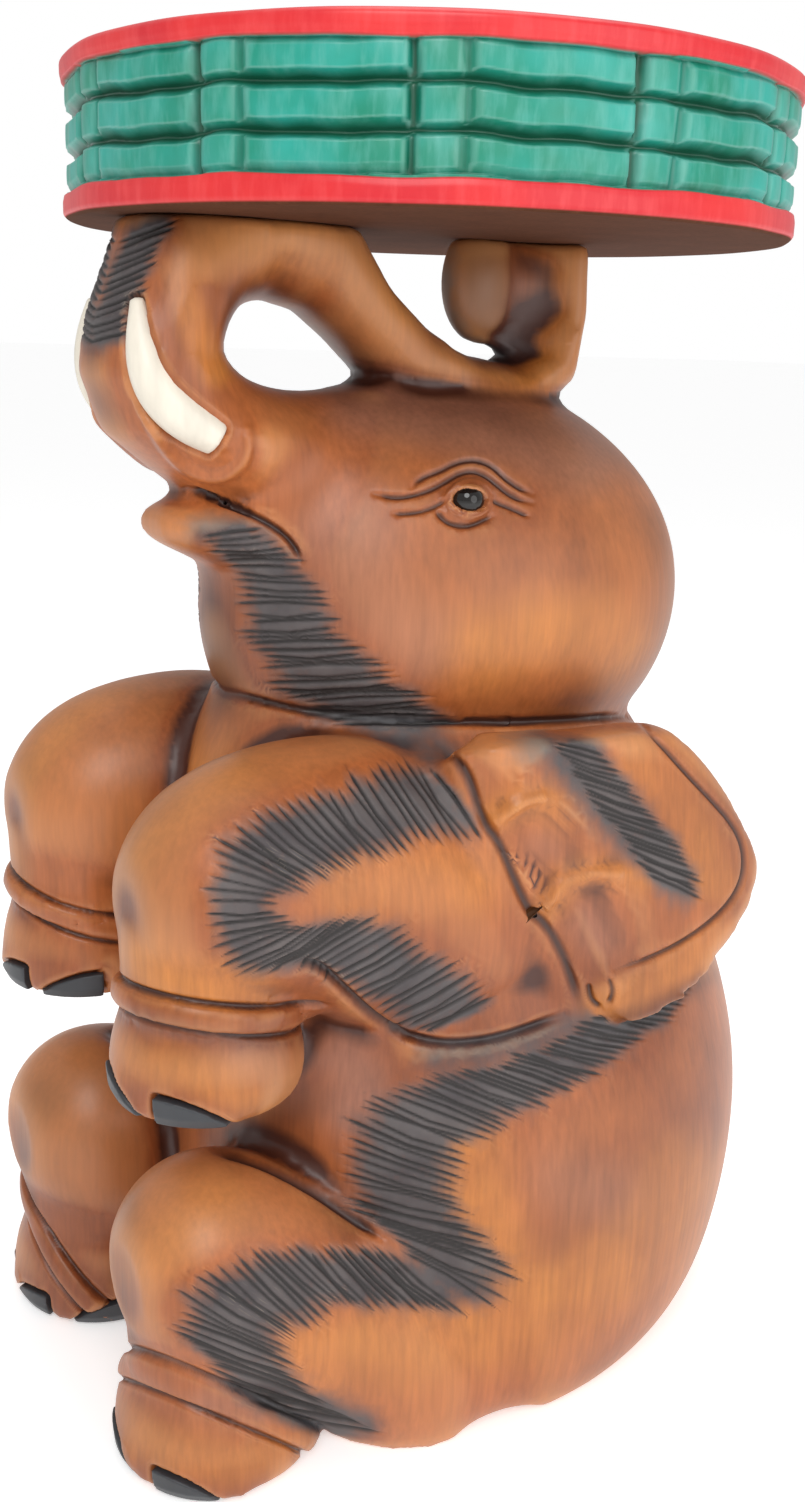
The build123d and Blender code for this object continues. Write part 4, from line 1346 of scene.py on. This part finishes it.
def band_relief(turn, level):
    """Depth of the carved band; turn in degrees, level from 0 to 1 over the band."""
    random = np.random.RandomState(11)
    rows = len(ROW_SHARES)
    gap = 360.0 / STATIONS
    station = np.floor((turn - STATION_START) / gap).astype(int) % STATIONS
    arc = ((turn - STATION_START) % gap) / gap * STATION_PITCH
    slants = random.uniform(-ROW_SLANT, ROW_SLANT, (STATIONS, rows))
    slips = random.uniform(-ROW_SLIP, ROW_SLIP, (STATIONS, rows))
    lows = np.concatenate([[0], np.cumsum(ROW_SHARES)])
    edges = random.uniform(-EDGE_SLIP, EDGE_SLIP, (STATIONS, rows + 1))
    edges[:, [0, -1]] = 0
    level = level + ripple(turn, ROW_WAVES)
    depth = np.zeros_like(turn)
    for row in range(rows):
        bottom, top = lows[row] + edges[station, row], lows[row + 1] + edges[station, row + 1]
        share = (level - bottom) / (top - bottom)
        inside = (share >= 0) & (share < 1)
        here = arc + slips[station, row] + slants[station, row] * (share - 0.5)
        depth[inside] = bamboo_depth(share, here, station, row)[inside]
    return depth


class STOOL_OT_seat(bpy.types.Operator):
    """Carves and paints the drum seat"""

    bl_idname = "stool.seat"
    bl_label = "Carve seat"

    def execute(self, context):
        rings = seat_profile()
        drum = bmesh.new()
        bmesh.ops.create_grid(drum, x_segments=SEAT_STEPS, y_segments=len(rings) - 1, size=0.5)
        mesh = made_mesh("drum_seat", drum)
        flat = vertex_rows(mesh) + 0.5
        ring = np.rint(flat[:, 1] * (len(rings) - 1)).astype(int)
        self.turn_drum(mesh, flat[:, 0] * 360, *rings[ring].T)
        self.close_seam(mesh)
        # how deeply each vertex lies among its neighbours, which the material uses to pale the band's edges
        # as worn paint and painted highlight
        store(mesh, "hollow", hollows(mesh, 0))
        dress(new_object("drum_seat", mesh), "seat", "seat_paint")
        return {"FINISHED"}

    def turn_drum(self, mesh, turn, share, zone, place):
        """Rolls the grid up into the drum with its carved band, and marks its paint."""
        low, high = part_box("seat")
        height = (high.z - low.z) / MILLIMETRE
        wave = ripple(turn, EDGE_WAVES)
        band_low = sizes().rim_bottom / MILLIMETRE + wave
        band_high = height - sizes().rim_top / MILLIMETRE + 0.8 * wave
        if band_low.max() >= band_high.min():
            raise RuntimeError("the seat is too low for its rims and band")
        number = zone.astype(int)
        lows = np.choose(number, (np.zeros(len(turn)), band_low, band_high))
        highs = np.choose(number, (band_low, band_high, np.full(len(turn), height)))
        level = lows + place * (highs - lows)
        on_side = share == 1.0
        band, rim = on_side & (zone == 1), on_side & (zone != 1)
        inset = np.zeros(len(turn))
        inset[band] = BAND_INSET + band_relief(turn[band], place[band])
        to_corner = np.minimum(level, height - level)
        to_band = np.minimum(np.abs(level - band_low), np.abs(level - band_high))
        rounding = RIM_ROUNDING * np.clip(1 - to_corner / RIM_CORNER, 0, 1) ** 2
        rounding += RIM_DIP * smoothstep(RIM_DIP_REACH, 0, to_band) + RIM_INSET + ripple(turn, RIM_WAVES)
        inset[rim] = rounding[rim]
        radius = high.x * share - inset * MILLIMETRE
        angle = np.radians(turn)
        rows = np.stack([radius * np.cos(angle), radius * np.sin(angle), low.z + level * MILLIMETRE], 1)
        place_vertices(mesh, rows)
        store(mesh, "red", rim & (level > PAINT_START))
        store(mesh, "green", band)
        # how deep the band lies here, which the material turns into painted shade in the grooves
        store(mesh, "groove", np.where(band, np.clip((inset - GROOVE_START) / GROOVE_SPAN, 0, 1), 0))

    def close_seam(self, mesh):
        """Joins the two ends of the rolled grid, and turns every face outwards."""
        solid = bmesh.new()
        solid.from_mesh(mesh)
        bmesh.ops.remove_doubles(solid, verts=solid.verts, dist=SAME_PLACE)
        bmesh.ops.recalc_face_normals(solid, faces=solid.faces)
        solid.to_mesh(mesh)
        solid.free()


class STOOL_OT_plain_nodes(bpy.types.Operator):
    """Gives the CAD nodes that are shown as they are their material"""

    bl_idname = "stool.plain_nodes"
    bl_label = "Dress dowels"

    def execute(self, context):
        for subpart in frame["record"]["subparts"]:
            node = frame["nodes"][subpart["node"]]
            if not node.hide_render:
                node.data.materials.clear()
                node.data.materials.append(material(subpart["material_slot"]))
        return {"FINISHED"}


class STOOL_OT_stage(bpy.types.Operator):
    """Pale floor, soft studio light and the camera"""

    bl_idname = "stool.stage"
    bl_label = "Set stage"

    def execute(self, context):
        context.scene.view_settings.view_transform = "Standard"
        self.floor()
        self.world(context.scene)
        for lamp in LAMPS:
            self.lamp(*lamp)
        self.camera(context.scene)
        return {"FINISHED"}

    def floor(self):
        """Pale floor that glows a little, so that it fades into the background."""
        ground = bmesh.new()
        bmesh.ops.create_grid(ground, x_segments=1, y_segments=1, size=FLOOR_SIZE)
        floor = new_object("floor", made_mesh("floor", ground))
        paint = Shader("floor_paint")
        paint.feed(paint.surface.inputs["Emission Color"], WHITE)
        paint.feed(paint.surface.inputs["Emission Strength"], FLOOR_GLOW)
        floor.data.materials.append(paint.finish(FLOOR_WHITE, 0.9))

    def camera(self, scene):
        right, up, look = camera_axes()
        lens = bpy.data.cameras.new("camera")
        lens.lens = sizes().lens
        lens.sensor_width = SENSOR_WIDTH
        lens.clip_start = 0.01
        camera = bpy.data.objects.new("camera", lens)
        turn = Matrix((right, up, -look)).transposed().to_4x4()
        camera.matrix_world = Matrix.Translation(sizes().camera_place) @ turn
        scene.collection.objects.link(camera)
        scene.camera = camera

    def world(self, scene):
        """White to the camera, softer for lighting."""
        world = bpy.data.worlds.new("studio")
        scene.world = world
        world.use_nodes = True
        tree = world.node_tree
        tree.nodes.clear()
        path = tree.nodes.new("ShaderNodeLightPath")
        mix = tree.nodes.new("ShaderNodeMixShader")
        tree.links.new(path.outputs["Is Camera Ray"], mix.inputs[0])
        for socket, strength in ((1, SOFT_LIGHT), (2, 1.0)):
            light = tree.nodes.new("ShaderNodeBackground")
            light.inputs["Color"].default_value = WHITE
            light.inputs["Strength"].default_value = strength
            tree.links.new(light.outputs[0], mix.inputs[socket])
        out = tree.nodes.new("ShaderNodeOutputWorld")
        tree.links.new(mix.outputs[0], out.inputs[0])

    def lamp(self, name, place, size, power):
        """Round soft lamp aimed at the middle of the stool."""
        light = bpy.data.lights.new(name, "AREA")
        light.shape = "DISK"
        light.size = size
        light.energy = power
        lamp = bpy.data.objects.new(name, light)
        lamp.location = place
        aim = Vector(LAMP_TARGET) - Vector(place)
        lamp.rotation_euler = aim.to_track_quat("-Z", "Y").to_euler()
        bpy.context.scene.collection.objects.link(lamp)


class STOOL_PT_panel(bpy.types.Panel):
    """Steps of the stool, in order"""

    bl_idname = "STOOL_PT_panel"
    bl_label = "Carved elephant stool"
    bl_space_type = "VIEW_3D"
    bl_region_type = "UI"
    bl_category = "Stool"

    def draw(self, context):
        for step in STEPS:
            self.layout.operator(step.bl_idname)


STEPS = (STOOL_OT_inlays, STOOL_OT_elephant, STOOL_OT_seat, STOOL_OT_plain_nodes, STOOL_OT_stage)
CLASSES = (StoolSizes, StoolColours, *STEPS, STOOL_PT_panel)


def register():
    for made in CLASSES:
        bpy.utils.register_class(made)
    bpy.types.Scene.stool_sizes = bpy.props.PointerProperty(type=StoolSizes)
    bpy.types.Scene.stool_colours = bpy.props.PointerProperty(type=StoolColours)


def unregister():
    del bpy.types.Scene.stool_colours
    del bpy.types.Scene.stool_sizes
    for made in reversed(CLASSES):
        bpy.utils.unregister_class(made)


def main():
    register()
    bpy.ops.stool.inlays()
    bpy.ops.stool.elephant()
    bpy.ops.stool.seat()
    bpy.ops.stool.plain_nodes()
    bpy.ops.stool.stage()


if __name__ == "__main__":
    main()
